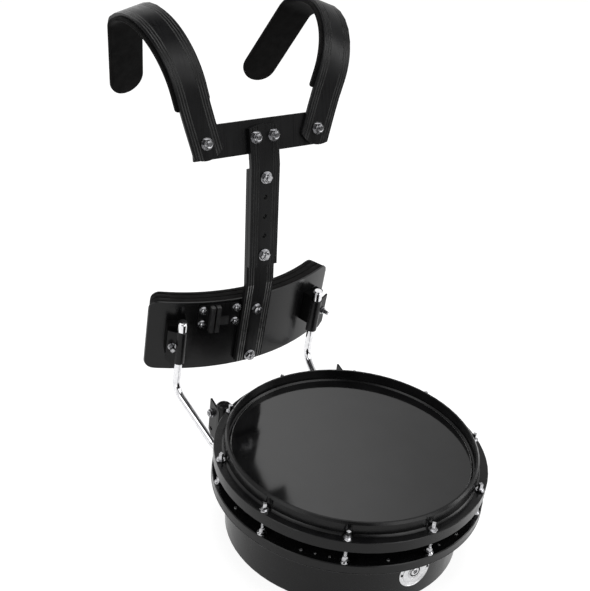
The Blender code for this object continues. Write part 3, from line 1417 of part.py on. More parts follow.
def lock_nut_mesh(shank_end, scale=1.0):
    """A washer, hexagon, collar and stud end with a shank behind. The washer seats at zero."""
    seat = SEAT_GAP
    washer = seat + scale * NUT_WASHER_THICKNESS
    hexagon_top = washer + scale * LOCK_HEX_HEIGHT
    collar_top = hexagon_top + scale * LOCK_COLLAR_HEIGHT
    hexagon = polygon_section(scale * LOCK_HEX_RADIUS, 6)
    collar = round_section(scale * LOCK_COLLAR_RADIUS)
    stud = round_section(scale * SHANK_RADIUS)
    sections = [
        raised(stud, shank_end),
        raised(stud, seat),
        raised(round_section(scale * NUT_WASHER_RADIUS), seat),
        raised(round_section(scale * NUT_WASHER_RADIUS), washer),
        raised(hexagon, washer),
        raised(hexagon, hexagon_top),
        raised(collar, hexagon_top),
        raised([(0.85 * x, 0.85 * y) for x, y in collar], collar_top),
        raised(stud, collar_top - scale * SEAT_GAP),
        raised(stud, collar_top + scale * STUD_STICK_OUT),
    ]
    return loft(sections)


def make_bolt(name, matrix, through):
    """A lock nut in front and a round head behind, on one shank through the pieces."""
    head_top = -through - SEAT_GAP
    mesh = lock_nut_mesh(head_top - BOLT_HEAD_HEIGHT / 2)
    bolt = placed(add_object(name, mesh, CHROME), matrix)
    head_low = head_top - BOLT_HEAD_HEIGHT
    head = cylinders(name + "_head", [(0, 0)], BOLT_HEAD_RADIUS, head_low, head_top, 12, matrix)
    return boolean(bolt, head, "UNION")


def build():
    make_shell()
    make_head()
    make_hoop()
    make_ring()
    for index, angle in enumerate(LUG_ANGLES, 1):
        make_tension_rod(index, angle)
        make_rod_nut(index, angle)
    make_snare_wires()
    make_snare_bracket("snare_bracket_front", 1)
    make_snare_bracket("snare_bracket_rear", -1)
    make_snare_knob()
    for side, word in ((-1, "left"), (1, "right")):
        make_receiver(side, f"receiver_{word}")
        make_bushing(side, f"receiver_bushing_{word}")
        make_ear_nut(f"receiver_screw_{word}", receiver_screw_frame(side), CLAMP_EAR_THICKNESS + SEAT_GAP)
        make_jrod(side, f"j_rod_{word}")
        make_clamp_base(side, f"clamp_base_{word}")
        make_clamp_plate(side, f"clamp_plate_{word}")
        deep = CLAMP_FLANGE_FACE - 0.6 * CLAMP_BASE_DEPTH
        make_clamp_screw(f"clamp_screw_{word}", clamp_screw_frame(side), deep)
    plate_sheet(
        "belly_plate", PLATE_RADIUS, PLATE_THICKNESS, PLATE_HALF_WIDTH, PLATE_HEIGHT, PLATE_CORNER,
        BLACK_METAL,
    )
    make_belly_pad()
    make_accessory_bracket()
    make_lower_bar()
    make_upper_bar()
    make_crossbar()
    make_arm(-1, "shoulder_arm_left", LEFT_ARM_SPREAD)
    make_arm(1, "shoulder_arm_right", RIGHT_ARM_SPREAD)
    make_shoulder_pad(-1, "shoulder_pad_left", LEFT_ARM_SPREAD)
    make_shoulder_pad(1, "shoulder_pad_right", RIGHT_ARM_SPREAD)
    stack = 2 * BAR_THICKNESS + 2 * SEAT_GAP
    for word, rise in (("upper", 0), ("lower", -4 * HOLE_PITCH)):
        make_bolt(f"bar_bolt_{word}", top_bolt_frame() @ Matrix.Translation((0, rise, 0)), stack)
    grip = BAR_THICKNESS + CROSSBAR_THICKNESS + 2 * SEAT_GAP
    face = BAR_THICKNESS + SEAT_GAP
    for word, x in (("left", -1), ("right", 1)):
        place = crossbar_frame(face) @ Matrix.Translation((x * CROSSBAR_BOLT_SPACING / 2, 0, 0))
        make_bolt(f"crossbar_bolt_{word}", place, grip)
        pivot = crossbar_frame(ARM_THICKNESS + SEAT_GAP) @ Matrix.Translation((x * ARM_PIVOT_X, 0, 0))
        make_bolt(f"arm_bolt_{word}", pivot, ARM_THICKNESS + CROSSBAR_THICKNESS + 2 * SEAT_GAP)
    plate_stack = BAR_THICKNESS + SEAT_GAP + 0.6 * PLATE_THICKNESS
    for word, rise in (("upper", 1), ("lower", -1)):
        place = plate_bolt_frame() @ Matrix.Translation((0, rise * PLATE_BOLT_SPACING / 2, 0))
        make_plate_bolt(f"plate_bolt_{word}", place, plate_stack)


def make_plate_bolt(name, matrix, deep):
    """A lock nut on a stud that is set into the belly plate from behind."""
    bolt = placed(add_object(name, lock_nut_mesh(-deep), CHROME), matrix)
    plate = bpy.data.objects["belly_plate"]
    hole = SHANK_RADIUS + ROD_CLEARANCE
    boolean(plate, cylinders(name + "_socket", [(0, 0)], hole, -2 * deep, deep, 12, matrix))
    return bolt


def reach_along_y():
    """The lowest and highest Y that the parts reach."""
    bpy.context.view_layer.update()
    graph = bpy.context.evaluated_depsgraph_get()
    values = []
    for obj in PARTS.objects:
        evaluated = obj.evaluated_get(graph)
        mesh = evaluated.to_mesh()
        values += [(obj.matrix_world @ vertex.co).y for vertex in mesh.vertices]
        evaluated.to_mesh_clear()
    return min(values), max(values)


def centre_on_base():
    """Moves everything along Y, so that the origin lies under the middle of the whole."""
    low, high = reach_along_y()
    move = Matrix.Translation((0, -(low + high) / 2, 0))
    for collection in (PARTS, CUTTERS):
        for obj in collection.objects:
            obj.matrix_world = move @ obj.matrix_world


build()
centre_on_base()
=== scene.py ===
"""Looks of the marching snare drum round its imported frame: materials, fittings, floor, light and camera."""

import json
import math

import bmesh
import bpy
from mathutils import Matrix, Vector, noise


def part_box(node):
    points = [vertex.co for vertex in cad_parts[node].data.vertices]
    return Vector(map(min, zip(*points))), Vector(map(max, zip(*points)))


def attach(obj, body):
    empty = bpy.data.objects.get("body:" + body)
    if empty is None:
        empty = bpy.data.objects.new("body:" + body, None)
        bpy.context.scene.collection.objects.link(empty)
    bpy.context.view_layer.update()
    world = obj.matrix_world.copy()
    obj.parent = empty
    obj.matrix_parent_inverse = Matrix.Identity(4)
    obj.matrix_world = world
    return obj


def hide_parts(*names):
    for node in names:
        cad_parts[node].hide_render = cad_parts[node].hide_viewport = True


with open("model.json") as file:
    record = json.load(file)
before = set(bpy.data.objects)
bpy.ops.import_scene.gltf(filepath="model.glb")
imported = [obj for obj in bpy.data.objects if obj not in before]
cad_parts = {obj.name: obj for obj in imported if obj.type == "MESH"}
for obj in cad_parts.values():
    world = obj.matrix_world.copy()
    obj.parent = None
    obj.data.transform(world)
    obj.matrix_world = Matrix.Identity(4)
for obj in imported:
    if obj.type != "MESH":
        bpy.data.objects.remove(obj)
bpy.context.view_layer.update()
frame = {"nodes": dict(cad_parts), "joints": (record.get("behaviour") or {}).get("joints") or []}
NODES = frame["nodes"]
JOINTS = {joint["name"]: joint for joint in frame["joints"]}

# Places on the drum, in metres
SHELL_LOW, SHELL_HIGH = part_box("shell")
DRUM_Y = (SHELL_LOW.y + SHELL_HIGH.y) / 2
SHELL_RADIUS = 0.177
SHELL_HEIGHT = 0.1397
FLANGE_TOP = 0.137
WEB_TOP = 0.0965
RING_RADIUS = 0.2024
RING_LOW = 0.0817
RING_LIP = 0.0007
LUG_CIRCLE = 0.195
LUG_COUNT = 10
LUG_STEP = 36
ROD_RADIUS = 0.0026
SNARE_ANGLE = 24

# Belly plate
PLATE_RADIUS = 0.352
PLATE_THICKNESS = 0.003
PLATE_HALF_WIDTH = 0.1665
PLATE_HALF_HEIGHT = 0.0655
PLATE_LEAN = math.radians(6)
PLATE_MIDDLE = Vector((0, 0.3005 + DRUM_Y, 0.1775))
PLATE_UP = Vector((0, -math.sin(PLATE_LEAN), math.cos(PLATE_LEAN)))
PLATE_OUT = Vector((0, -math.cos(PLATE_LEAN), -math.sin(PLATE_LEAN)))

# Bracket on the belly plate
BRACKET_TURN = 10
BRACKET_RISE = 0.0405
BRACKET_NUT_X = 0.0278
BRACKET_NUT_Z = 0.0132
BRACKET_NUT_REACH = 0.0085
BRACKET_FACE = 0.0029

# Shoulder arms
CROSSBAR_LEAN = math.radians(15)
ARM_THICKNESS = 0.005
ARM_SPREADS = {"left": 14, "right": 21}
ARM_RUNS = ((0.055, 0, 0), (0, -6, -0.450), (0, 115.3, 0.110), (0, 36.3, 0.0315), (0.134, 0, 0))
ARM_BELOW_PIVOT = 0.025
PAD_HALF_WIDTH = 0.029
SHOULDER_PAD_DEPTH = 0.0075
SHOULDER_PAD_START = 0.0562
SHOULDER_PAD_SHORT = 0.025
GLUE_GAP = 0.0004

# Badge on the shell
BADGE_HEIGHT = 0.047
BADGE_RADIUS = 0.026
BADGE_HOLE = 0.0030
BADGE_SIDES = 72
BADGE_PIN_OFFSET = 0.0225

# Ring screws: their circles, and each head's radius, height and socket
SCREW_CIRCLE = 0.192
SCREW_HEAD = (0.0026, 0.0020, 0.0013)
SMALL_SCREW_CIRCLE = 0.1905
SMALL_SCREW_HEAD = (0.0019, 0.0013, 0.0009)
SMALL_SCREW_ANGLES = (-48, -42, 7)
SCREW_GAP = 0.0002

# Bright areas of the world for glossy rays: direction, where each begins, where it is full, level
SOFT_BOXES = (
    ((0.33, -0.79, 0.51), 0.88, 0.97, 2.3),
    ((-0.87, -0.26, 0.42), 0.72, 0.90, 0.85),
    ((-0.58, 0.06, 0.81), 0.93, 0.985, 2.2),
    ((0.22, -0.56, 0.80), 0.93, 0.985, 1.9),
    ((0.43, 0.62, 0.655), 0.986, 0.9995, 0.24),
)

# Its broad shades: where each begins, where it ends, and the level at both
BACKDROP_AIM = (0.52, 0.74, 0.42)
BACKDROP = (-0.25, 0.55, 0.05, 1.0)
CEILING = (0.66, 0.80, 1.0, 0.04)
RIGHT_SIDE = (0.42, 0.62, 1.35, 0.60)
DIFFUSE_LEVEL = 0.44

# Floor
FLOOR_GREY = 0.30
FLOOR_GLOW = 0.86
FLOOR_RADIUS = 9.0
FLOOR_DROP = 0.0005

# Sockets of a Mix node that mixes colours
COLOUR_A, COLOUR_B, COLOUR_OUT = 6, 7, 2


# Meshes

def new_object(name, mesh, materials):
    piece = bpy.data.objects.new(name, mesh)
    bpy.context.scene.collection.objects.link(piece)
    for coat in materials:
        mesh.materials.append(coat)
    return piece


def finish_mesh(name, shape, angle=35):
    """A smooth mesh from a bmesh, with the edges over this angle left sharp."""
    bmesh.ops.remove_doubles(shape, verts=shape.verts, dist=1e-6)
    bmesh.ops.recalc_face_normals(shape, faces=shape.faces)
    mesh = bpy.data.meshes.new(name)
    shape.to_mesh(mesh)
    shape.free()
    mesh.shade_smooth()
    mesh.set_sharp_from_angle(angle=math.radians(angle))
    return mesh


def add_rings(shape, rings, closed=False, bands=None):
    """Faces through rings of points, where a ring of one point closes an end.

    bands gives the index of a material for each span.
    """
    rows = [[shape.verts.new(point) for point in ring] for ring in rings]
    spans = list(zip(rows, rows[1:]))
    if closed:
        spans.append((rows[-1], rows[0]))
    for k, (first, second) in enumerate(spans):
        count = max(len(first), len(second))
        for i in range(count):
            j = (i + 1) % count
            if len(first) == 1:
                corners = (first[0], second[i], second[j])
            elif len(second) == 1:
                corners = (first[i], first[j], second[0])
            else:
                corners = (first[i], first[j], second[j], second[i])
            face = shape.faces.new(corners)
            if bands:
                face.material_index = bands[k]
    return rows


def add_capped(shape, rings):
    """Faces through rings of points, and one over each end."""
    rows = add_rings(shape, rings)
    shape.faces.new(rows[0][::-1])
    shape.faces.new(rows[-1])


def circle(radius, height, count):
    angles = [math.tau * i / count for i in range(count)]
    return [Vector((radius * math.cos(angle), radius * math.sin(angle), height)) for angle in angles]


def lathe_rings(profile, count):
    return [[Vector((0, 0, z))] if r == 0 else circle(r, z, count) for r, z in profile]


def polar(radius, degrees, height=0.0):
    """A point at this angle round the drum's axis, from its front towards +X."""
    angle = math.radians(degrees)
    return Vector((radius * math.sin(angle), DRUM_Y - radius * math.cos(angle), height))


def frame_matrix(origin, x_axis, y_axis, z_axis):
    matrix = Matrix.Identity(4)
    for column, axis in enumerate((x_axis, y_axis, z_axis)):
        for row in range(3):
            matrix[row][column] = axis[row]
    matrix.translation = origin
    return matrix


def tube_rings(points, radius, sides):
    """Rings of a tube that follows the points, without twisting."""
    rings = []
    side = None
    for i, point in enumerate(points):
        ahead = points[min(i + 1, len(points) - 1)] - points[max(i - 1, 0)]
        ahead.normalize()
        if side is None:
            side = ahead.orthogonal().normalized()
        side = (side - ahead * side.dot(ahead)).normalized()
        other = ahead.cross(side)
        rings.append([
            point + radius * (side * math.cos(math.tau * k / sides) + other * math.sin(math.tau * k / sides))
            for k in range(sides)
        ])
    return rings


def add_tube(shape, points, radius, sides):
    add_capped(shape, tube_rings(points, radius, sides))


# Materials

def material(name, colour, roughness, metallic=0.0, specular=0.5, **extra):
    """A Principled material. The caller adds the noises that vary its colour, roughness and bump."""
    made = bpy.data.materials.new(name)
    made.use_nodes = True
    shader = made.node_tree.nodes["Principled BSDF"]
    shader.inputs["Base Color"].default_value = (*colour, 1)
    shader.inputs["Roughness"].default_value = roughness
    shader.inputs["Metallic"].default_value = metallic
    shader.inputs["Specular IOR Level"].default_value = specular
    for socket, value in extra.items():
        shader.inputs[socket.replace("_", " ")].default_value = value
    return made


def node(made, kind):
    return made.node_tree.nodes.new(kind)


def link(made, output, target):
    made.node_tree.links.new(output, target)


def shader_of(made):
    return made.node_tree.nodes["Principled BSDF"]


def pattern(made, scale, detail=3.0, stretch=(1, 1, 1), kind="ShaderNodeTexNoise", distortion=0.0):
    """A noise or cell texture's value over the piece's own coordinates, in metres times stretch."""
    place = node(made, "ShaderNodeTexCoord")
    mapping = node(made, "ShaderNodeMapping")
    mapping.inputs["Scale"].default_value = stretch
    link(made, place.outputs["Object"], mapping.inputs["Vector"])
    texture = node(made, kind)
    texture.inputs["Scale"].default_value = scale
    if kind == "ShaderNodeTexNoise":
        texture.inputs["Detail"].default_value = detail
        texture.inputs["Distortion"].default_value = distortion
        out = texture.outputs["Fac"]
    else:
        out = texture.outputs["Distance"]
    link(made, mapping.outputs["Vector"], texture.inputs["Vector"])
    return out


def range_node(tree, value, low, high, out_low=0.0, out_high=1.0, kind="LINEAR"):
    """A value carried from one range to another and held inside it."""
    added = tree.nodes.new("ShaderNodeMapRange")
    added.interpolation_type = kind
    for name, number in (("From Min", low), ("From Max", high), ("To Min", out_low), ("To Max", out_high)):
        added.inputs[name].default_value = number
    tree.links.new(value, added.inputs["Value"])
    return added.outputs["Result"]


def vary_colour(made, value, first, second, low=0.35, high=0.65):
    """Base colour between two colours by a value. A colour that is already varied is the first one."""
    shader = shader_of(made)
    mix = node(made, "ShaderNodeMix")
    mix.data_type = "RGBA"
    mix.inputs[COLOUR_A].default_value = (*first, 1)
    mix.inputs[COLOUR_B].default_value = (*second, 1)
    taken = shader.inputs["Base Color"].links
    if taken:
        link(made, taken[0].from_socket, mix.inputs[COLOUR_A])
    link(made, range_node(made.node_tree, value, low, high), mix.inputs["Factor"])
    link(made, mix.outputs[COLOUR_OUT], shader.inputs["Base Color"])


def vary_roughness(made, value, first, second, low=0.3, high=0.7):
    ranged = range_node(made.node_tree, value, low, high, first, second)
    link(made, ranged, shader_of(made).inputs["Roughness"])


def add_bump(made, value, height, strength=1.0):
    """A bump of this height in metres, on top of any bump already there."""
    shader = shader_of(made)
    bump = node(made, "ShaderNodeBump")
    bump.inputs["Distance"].default_value = height
    bump.inputs["Strength"].default_value = strength
    link(made, value, bump.inputs["Height"])
    taken = shader.inputs["Normal"].links
    if taken:
        link(made, taken[0].from_socket, bump.inputs["Normal"])
    link(made, bump.outputs["Normal"], shader.inputs["Normal"])


def lacquer():
    """Black lacquer on the shell: smooth, with faint orange peel and hairline scuffs round it."""
    made = material("black_lacquer", (0.005, 0.005, 0.0055), 0.26, specular=0.20)
    vary_colour(made, pattern(made, 22), (0.0042, 0.0042, 0.0046), (0.0066, 0.0066, 0.0070))
    vary_roughness(made, pattern(made, 38, 5), 0.21, 0.31)
    scuffs = pattern(made, 60, 2, (1, 1, 14), distortion=0.4)
    vary_colour(made, scuffs, (0.005, 0.005, 0.0055), (0.012, 0.012, 0.0125), 0.66, 0.80)
    add_bump(made, pattern(made, 420, 2), 0.00003)
    add_bump(made, scuffs, 0.00002)
    return made


def film():
    """Black polyester head film: glossy, with a very fine surface and faint smears."""
    made = material("black_film", (0.003, 0.003, 0.0032), 0.07, specular=0.5)
    vary_roughness(made, pattern(made, 14, 4, distortion=0.6), 0.055, 0.095)
    vary_colour(made, pattern(made, 30, 5), (0.0024, 0.0024, 0.0026), (0.0042, 0.0042, 0.0045))
    add_bump(made, pattern(made, 7, 1), 0.00012)
    add_bump(made, pattern(made, 900, 2), 0.000003)
    return made


def powder_coat():
    """Semi-gloss black coat with its fine grain and lighter worn specks."""
    made = material("black_powder_coat", (0.0045, 0.0045, 0.0048), 0.24, specular=0.21)
    vary_colour(made, pattern(made, 45, 4), (0.0036, 0.0036, 0.0039), (0.0060, 0.0060, 0.0063))
    vary_roughness(made, pattern(made, 70, 4), 0.19, 0.29)
    vary_colour(made, pattern(made, 1100, 1), (0.005, 0.005, 0.0055), (0.018, 0.018, 0.019), 0.70, 0.78)
    add_bump(made, pattern(made, 1500, 2), 0.000015)
    return made


def coated_bar():
    """Black coated aluminium with faint drawing lines along the bars."""
    made = material("black_coated_aluminium", (0.0045, 0.0045, 0.0048), 0.32, specular=0.15)
    vary_colour(made, pattern(made, 26, 4), (0.0040, 0.0040, 0.0043), (0.0068, 0.0068, 0.0072))
    lines = pattern(made, 520, 2, (1, 0.05, 0.03))
    vary_roughness(made, lines, 0.26, 0.38)
    scratches = pattern(made, 300, 5, (1, 0.2, 0.12), distortion=0.3)
    vary_colour(made, scratches, (0.005, 0.005, 0.0053), (0.014, 0.014, 0.0145), 0.70, 0.80)
    add_bump(made, lines, 0.00002)
    add_bump(made, pattern(made, 1400, 2), 0.00001)
    return made


def plate_sheet():
    """The belly plate's smooth black skin, with a soft broad gloss."""
    made = material("black_smooth_sheet", (0.0050, 0.0050, 0.0053), 0.22, specular=0.25)
    vary_colour(made, pattern(made, 16, 4), (0.0042, 0.0042, 0.0045), (0.0066, 0.0066, 0.0070))
    vary_roughness(made, pattern(made, 30, 4, distortion=0.5), 0.19, 0.26)
    add_bump(made, pattern(made, 700, 3), 0.000012)
    return made


def moulded():
    """Moulded black plastic with a fine grain."""
    made = material("black_moulded_plastic", (0.0028, 0.0028, 0.0028), 0.50, specular=0.05)
    vary_colour(made, pattern(made, 60, 3), (0.0022, 0.0022, 0.0022), (0.0040, 0.0040, 0.0040))
    vary_roughness(made, pattern(made, 90, 4), 0.42, 0.56)
    add_bump(made, pattern(made, 1200, kind="ShaderNodeTexVoronoi"), 0.00003)
    return made


def chrome():
    """Polished plating with small swirls and a slightly uneven surface."""
    made = material("chrome", (0.80, 0.80, 0.82), 0.08, 1.0)
    vary_colour(made, pattern(made, 160, 4), (0.72, 0.72, 0.74), (0.86, 0.86, 0.87))
    vary_roughness(made, pattern(made, 240, 4, distortion=0.6), 0.05, 0.14)
    add_bump(made, pattern(made, 500, 2), 0.000008)
    return made


def nickel():
    """Plating of the tension rods, greyer than chrome."""
    made = material("nickel", (0.44, 0.44, 0.45), 0.12, 1.0)
    vary_colour(made, pattern(made, 220, 4), (0.34, 0.34, 0.35), (0.56, 0.56, 0.57))
    vary_roughness(made, pattern(made, 280, 4, distortion=0.6), 0.08, 0.20)
    add_bump(made, pattern(made, 500, 2), 0.000010)
    return made


def film_edge():
    """A lighter coat on the head's edge where the film turns down over the shell, that paints the glint along
    it.
    """
    made = material("film_edge", (0.13, 0.13, 0.13), 0.30, specular=0.8)
    vary_colour(made, pattern(made, 60, 5, distortion=0.6), (0.07, 0.07, 0.07), (0.20, 0.20, 0.20))
    vary_roughness(made, pattern(made, 200, 4), 0.22, 0.38)
    return made


def plated():
    """Duller zinc plating of the nuts and screws."""
    made = material("zinc_plating", (0.36, 0.36, 0.37), 0.15, 1.0)
    vary_colour(made, pattern(made, 260, 4), (0.26, 0.26, 0.27), (0.46, 0.46, 0.47))
    vary_roughness(made, pattern(made, 320, 4, distortion=0.5), 0.10, 0.22)
    add_bump(made, pattern(made, 700, 2), 0.000012)
    return made


def dark_steel():
    """Blackened screws, worn lighter in spots."""
    made = material("dark_steel", (0.28, 0.28, 0.28), 0.34, 1.0)
    vary_colour(made, pattern(made, 400, 4), (0.20, 0.20, 0.20), (0.36, 0.36, 0.36))
    vary_roughness(made, pattern(made, 500, 3), 0.26, 0.44)
    add_bump(made, pattern(made, 900, 2), 0.00001)
    return made


def groove_painted_light_coat(name, level):
    """The coat on the sides of the drawn grooves, at a given level: the lighter levels paint highlight lines
    along the grooves, and the darkest paints shade on their other sides.
    """
    made = material(name, (level, level, level), 0.30, 0.5, specular=0.4)
    vary_colour(made, pattern(made, 60, 4), (0.8 * level,) * 3, (1.4 * level,) * 3)
    vary_roughness(made, pattern(made, 90, 4), 0.24, 0.38)
    add_bump(made, pattern(made, 800, 2), 0.00001)
    return made


def rib_painted_highlight_coat():
    """The bracket's standing ribs, painted greyer than the rest to stand in for their highlights."""
    made = material("rubbed_black", (0.014, 0.014, 0.0145), 0.34, specular=0.6)
    vary_colour(made, pattern(made, 90, 5, distortion=0.5), (0.009, 0.009, 0.0093), (0.024, 0.024, 0.0245))
    vary_roughness(made, pattern(made, 120, 4), 0.28, 0.42)
    add_bump(made, pattern(made, 900, 2), 0.000012)
    return made


def steel_wire():
    """Dull steel of the snares."""
    made = material("snare_wire_steel", (0.60, 0.60, 0.61), 0.25, 1.0)
    vary_colour(made, pattern(made, 200, 3), (0.50, 0.50, 0.51), (0.68, 0.68, 0.69))
    vary_roughness(made, pattern(made, 300, 3), 0.18, 0.34)
    add_bump(made, pattern(made, 1500, 2), 0.00001)
    return made


def foam(name, colour, specular=0.16):
    """Closed-cell foam with a skin: tiny pores, soft mottling and a dull sheen."""
    made = material(name, colour, 0.88, specular=specular, Sheen_Weight=0.02, Sheen_Roughness=0.5)
    darker = tuple(0.75 * c for c in colour)
    lighter = tuple(1.5 * c for c in colour)
    vary_colour(made, pattern(made, 55, 5), darker, lighter)
    pores = pattern(made, 1300, kind="ShaderNodeTexVoronoi")
    vary_roughness(made, pattern(made, 80, 4), 0.80, 0.95)
    add_bump(made, pores, 0.00008)
    add_bump(made, pattern(made, 130, 4), 0.00020)
    return made


def badge_metal():
    """Brushed bright plate."""
    made = material("badge_silver", (0.78, 0.78, 0.79), 0.30, 0.7)
    vary_colour(made, pattern(made, 300, 4), (0.70, 0.70, 0.71), (0.86, 0.86, 0.87))
    vary_roughness(made, pattern(made, 500, 3, (1, 1, 0.08)), 0.24, 0.40)
    add_bump(made, pattern(made, 900, 2, (1, 1, 0.08)), 0.00001)
    return made


LACQUER = lacquer()
FILM = film()
POWDER = powder_coat()
BAR = coated_bar()
SHEET = plate_sheet()
MOULDED = moulded()
CHROME = chrome()
NICKEL = nickel()
# Painted glint on the head's edge
PAINTED_FILM_EDGE_GLINT = film_edge()
PLATED = plated()
# Groove coats: lighter ones are painted highlight lines, the darkest is painted shade
PAINTED_GROOVE_HIGHLIGHT = groove_painted_light_coat("drawn_groove", 0.035)
PAINTED_SOFT_GROOVE_HIGHLIGHT = groove_painted_light_coat("drawn_groove_soft", 0.016)
PAINTED_GROOVE_SIDE_HIGHLIGHT = groove_painted_light_coat("drawn_groove_bright", 0.16)
PAINTED_GROOVE_SIDE_SHADE = groove_painted_light_coat("drawn_groove_dark", 0.003)
# Greyer coat that paints highlights on the bracket's ribs
RIB_PAINTED_HIGHLIGHT = rib_painted_highlight_coat()
DARK_STEEL = dark_steel()
WIRE = steel_wire()
PAD_FOAM = foam("black_foam_skin", (0.0034, 0.0032, 0.0032), 0.12)
SEAM = foam("black_foam_seam", (0.0025, 0.0024, 0.0024), 0.10)
SILVER = badge_metal()

MATERIALS_OF = {
    "shell": LACQUER,
    "batter_head": FILM,
    "belly_plate": SHEET,
    "snare_knob": MOULDED,
    "clamp_base": MOULDED,
    "receiver_bushing": MOULDED,
    "clamp_screw": PLATED,
    "receiver_screw": PLATED,
    "tension_rod": NICKEL,
    "rod_nut": PLATED,
    "j_rod": CHROME,
    "plate_bolt": PLATED,
    "bar_bolt": PLATED,
    "crossbar_bolt": PLATED,
    "arm_bolt": PLATED,
    "top_hoop": POWDER,
    "lug_ring": POWDER,
    "snare_bracket": POWDER,
    "clamp_plate": POWDER,
    "receiver": POWDER,
    "accessory_bracket": BAR,
    "lower_bar": BAR,
    "upper_bar": BAR,
    "crossbar": BAR,
    "shoulder_arm": BAR,
}
ROUNDED = (
    "top_hoop", "lug_ring", "belly_plate", "lower_bar", "upper_bar", "crossbar",
    "shoulder_arm", "receiver", "clamp_plate", "clamp_base", "accessory_bracket",
)
ROUND_WIDTH = 0.0004
ROUND_ANGLE = 50
SMOOTH_ANGLE = 38
HEAD_ANGLE = 12

# Sides of the grooves: width, least length, how far they face across the bar, and the lower bar's bend
GROOVE_SIDE = (0.00128, 0.00160)
GROOVE_MIN_LENGTH = 0.006
GROOVE_FACING = (0.25, 0.95)
LOWER_BEND = 0.270

# Upward share of the normal on the slope round the head
FILM_EDGE_RISE = (0.3, 0.95)


def dress_cad():
    """Each CAD piece gets its material, fine rounds on some edges, and smooth faces between sharp edges."""
    names = sorted(MATERIALS_OF, key=len, reverse=True)
    for name, piece in NODES.items():
        match = next((start for start in names if name.startswith(start)), None)
        if match is None:
            continue
        piece.data.materials.clear()
        piece.data.materials.append(MATERIALS_OF[match])
        weld = piece.modifiers.new("weld", "WELD")
        weld.merge_threshold = 1e-6
        if match in ROUNDED:
            bevel = piece.modifiers.new("rounds", "BEVEL")
            bevel.width = ROUND_WIDTH
            bevel.segments = 2
            bevel.angle_limit = math.radians(ROUND_ANGLE)
        for polygon in piece.data.polygons:
            polygon.use_smooth = True
        split = piece.modifiers.new("sharp", "EDGE_SPLIT")
        split.split_angle = math.radians(HEAD_ANGLE if name == "batter_head" else SMOOTH_ANGLE)
        piece.modifiers.new("flats", "WEIGHTED_NORMAL")
    dress_bracket(NODES["accessory_bracket"])
    dress_film_edge(NODES["batter_head"])
    for name in ("lower_bar", "upper_bar", "shoulder_arm_left", "shoulder_arm_right"):
        dress_grooves(NODES[name])


def dress_grooves(bar):
    """The sides of a bar's long grooves, known by their width, take lighter coats of their own that paint
    highlight lines along them.

    Below the bend of the lower bar one side of each groove takes a painted highlight and the other painted
    shade.
    """
    word = bar.name.rsplit("_", 1)[-1]
    across = Vector(arm_matrix(word).col[0][:3]) if word in ARM_SPREADS else Vector((1, 0, 0))
    for coat in (PAINTED_SOFT_GROOVE_HIGHLIGHT if bar.name == "upper_bar" else PAINTED_GROOVE_HIGHLIGHT, PAINTED_GROOVE_SIDE_HIGHLIGHT, PAINTED_GROOVE_SIDE_SHADE):
        bar.data.materials.append(coat)
    verts = bar.data.vertices
    for polygon in bar.data.polygons:
        facing = (bar.matrix_world.to_3x3() @ polygon.normal).dot(across)
        if not GROOVE_FACING[0] < abs(facing) < GROOVE_FACING[1]:
            continue
        corners = [verts[i].co for i in polygon.vertices]
        longest = max((a - b).length for a, b in zip(corners, corners[1:] + corners[:1]))
        width = (2 if len(corners) == 3 else 1) * polygon.area / longest
        if longest <= GROOVE_MIN_LENGTH or not GROOVE_SIDE[0] < width < GROOVE_SIDE[1]:
            continue
        # Painted highlight on the groove sides; below the lower bar's bend, painted highlight on one side and
        # painted shade on the other
        polygon.material_index = 1
        if bar.name == "lower_bar" and (bar.matrix_world @ polygon.center).z < LOWER_BEND:
            polygon.material_index = 2 if facing < 0 else 3


def dress_film_edge(head):
    """The narrow slope round the head's playing face takes the lighter coat that paints its glint."""
    head.data.materials.append(PAINTED_FILM_EDGE_GLINT)
    for polygon in head.data.polygons:
        if FILM_EDGE_RISE[0] < polygon.normal.z < FILM_EDGE_RISE[1]:
            polygon.material_index = 1


def dress_bracket(bracket):
    """The nuts that are one solid with the bracket take the plating, and its ribs the greyer coat that paints
    their highlights.
    """
    angle = math.radians(-BRACKET_TURN)
    out = PLATE_OUT * math.cos(angle) + Vector((1, 0, 0)) * math.sin(angle)
    across = Vector((1, 0, 0)) * math.cos(angle) - PLATE_OUT * math.sin(angle)
    origin = PLATE_MIDDLE + PLATE_RADIUS * (out - PLATE_OUT)
    place = frame_matrix(origin, across, PLATE_UP, out).inverted()
    bracket.data.materials.append(PLATED)
    bracket.data.materials.append(RIB_PAINTED_HIGHLIGHT)
    for polygon in bracket.data.polygons:
        point = place @ (bracket.matrix_world @ polygon.center)
        gap = math.hypot(abs(point.x) - BRACKET_NUT_X, abs(point.y - BRACKET_RISE) - BRACKET_NUT_Z)
        if point.z > BRACKET_FACE:
            polygon.material_index = 1 if gap < BRACKET_NUT_REACH else 2


# Soft pads

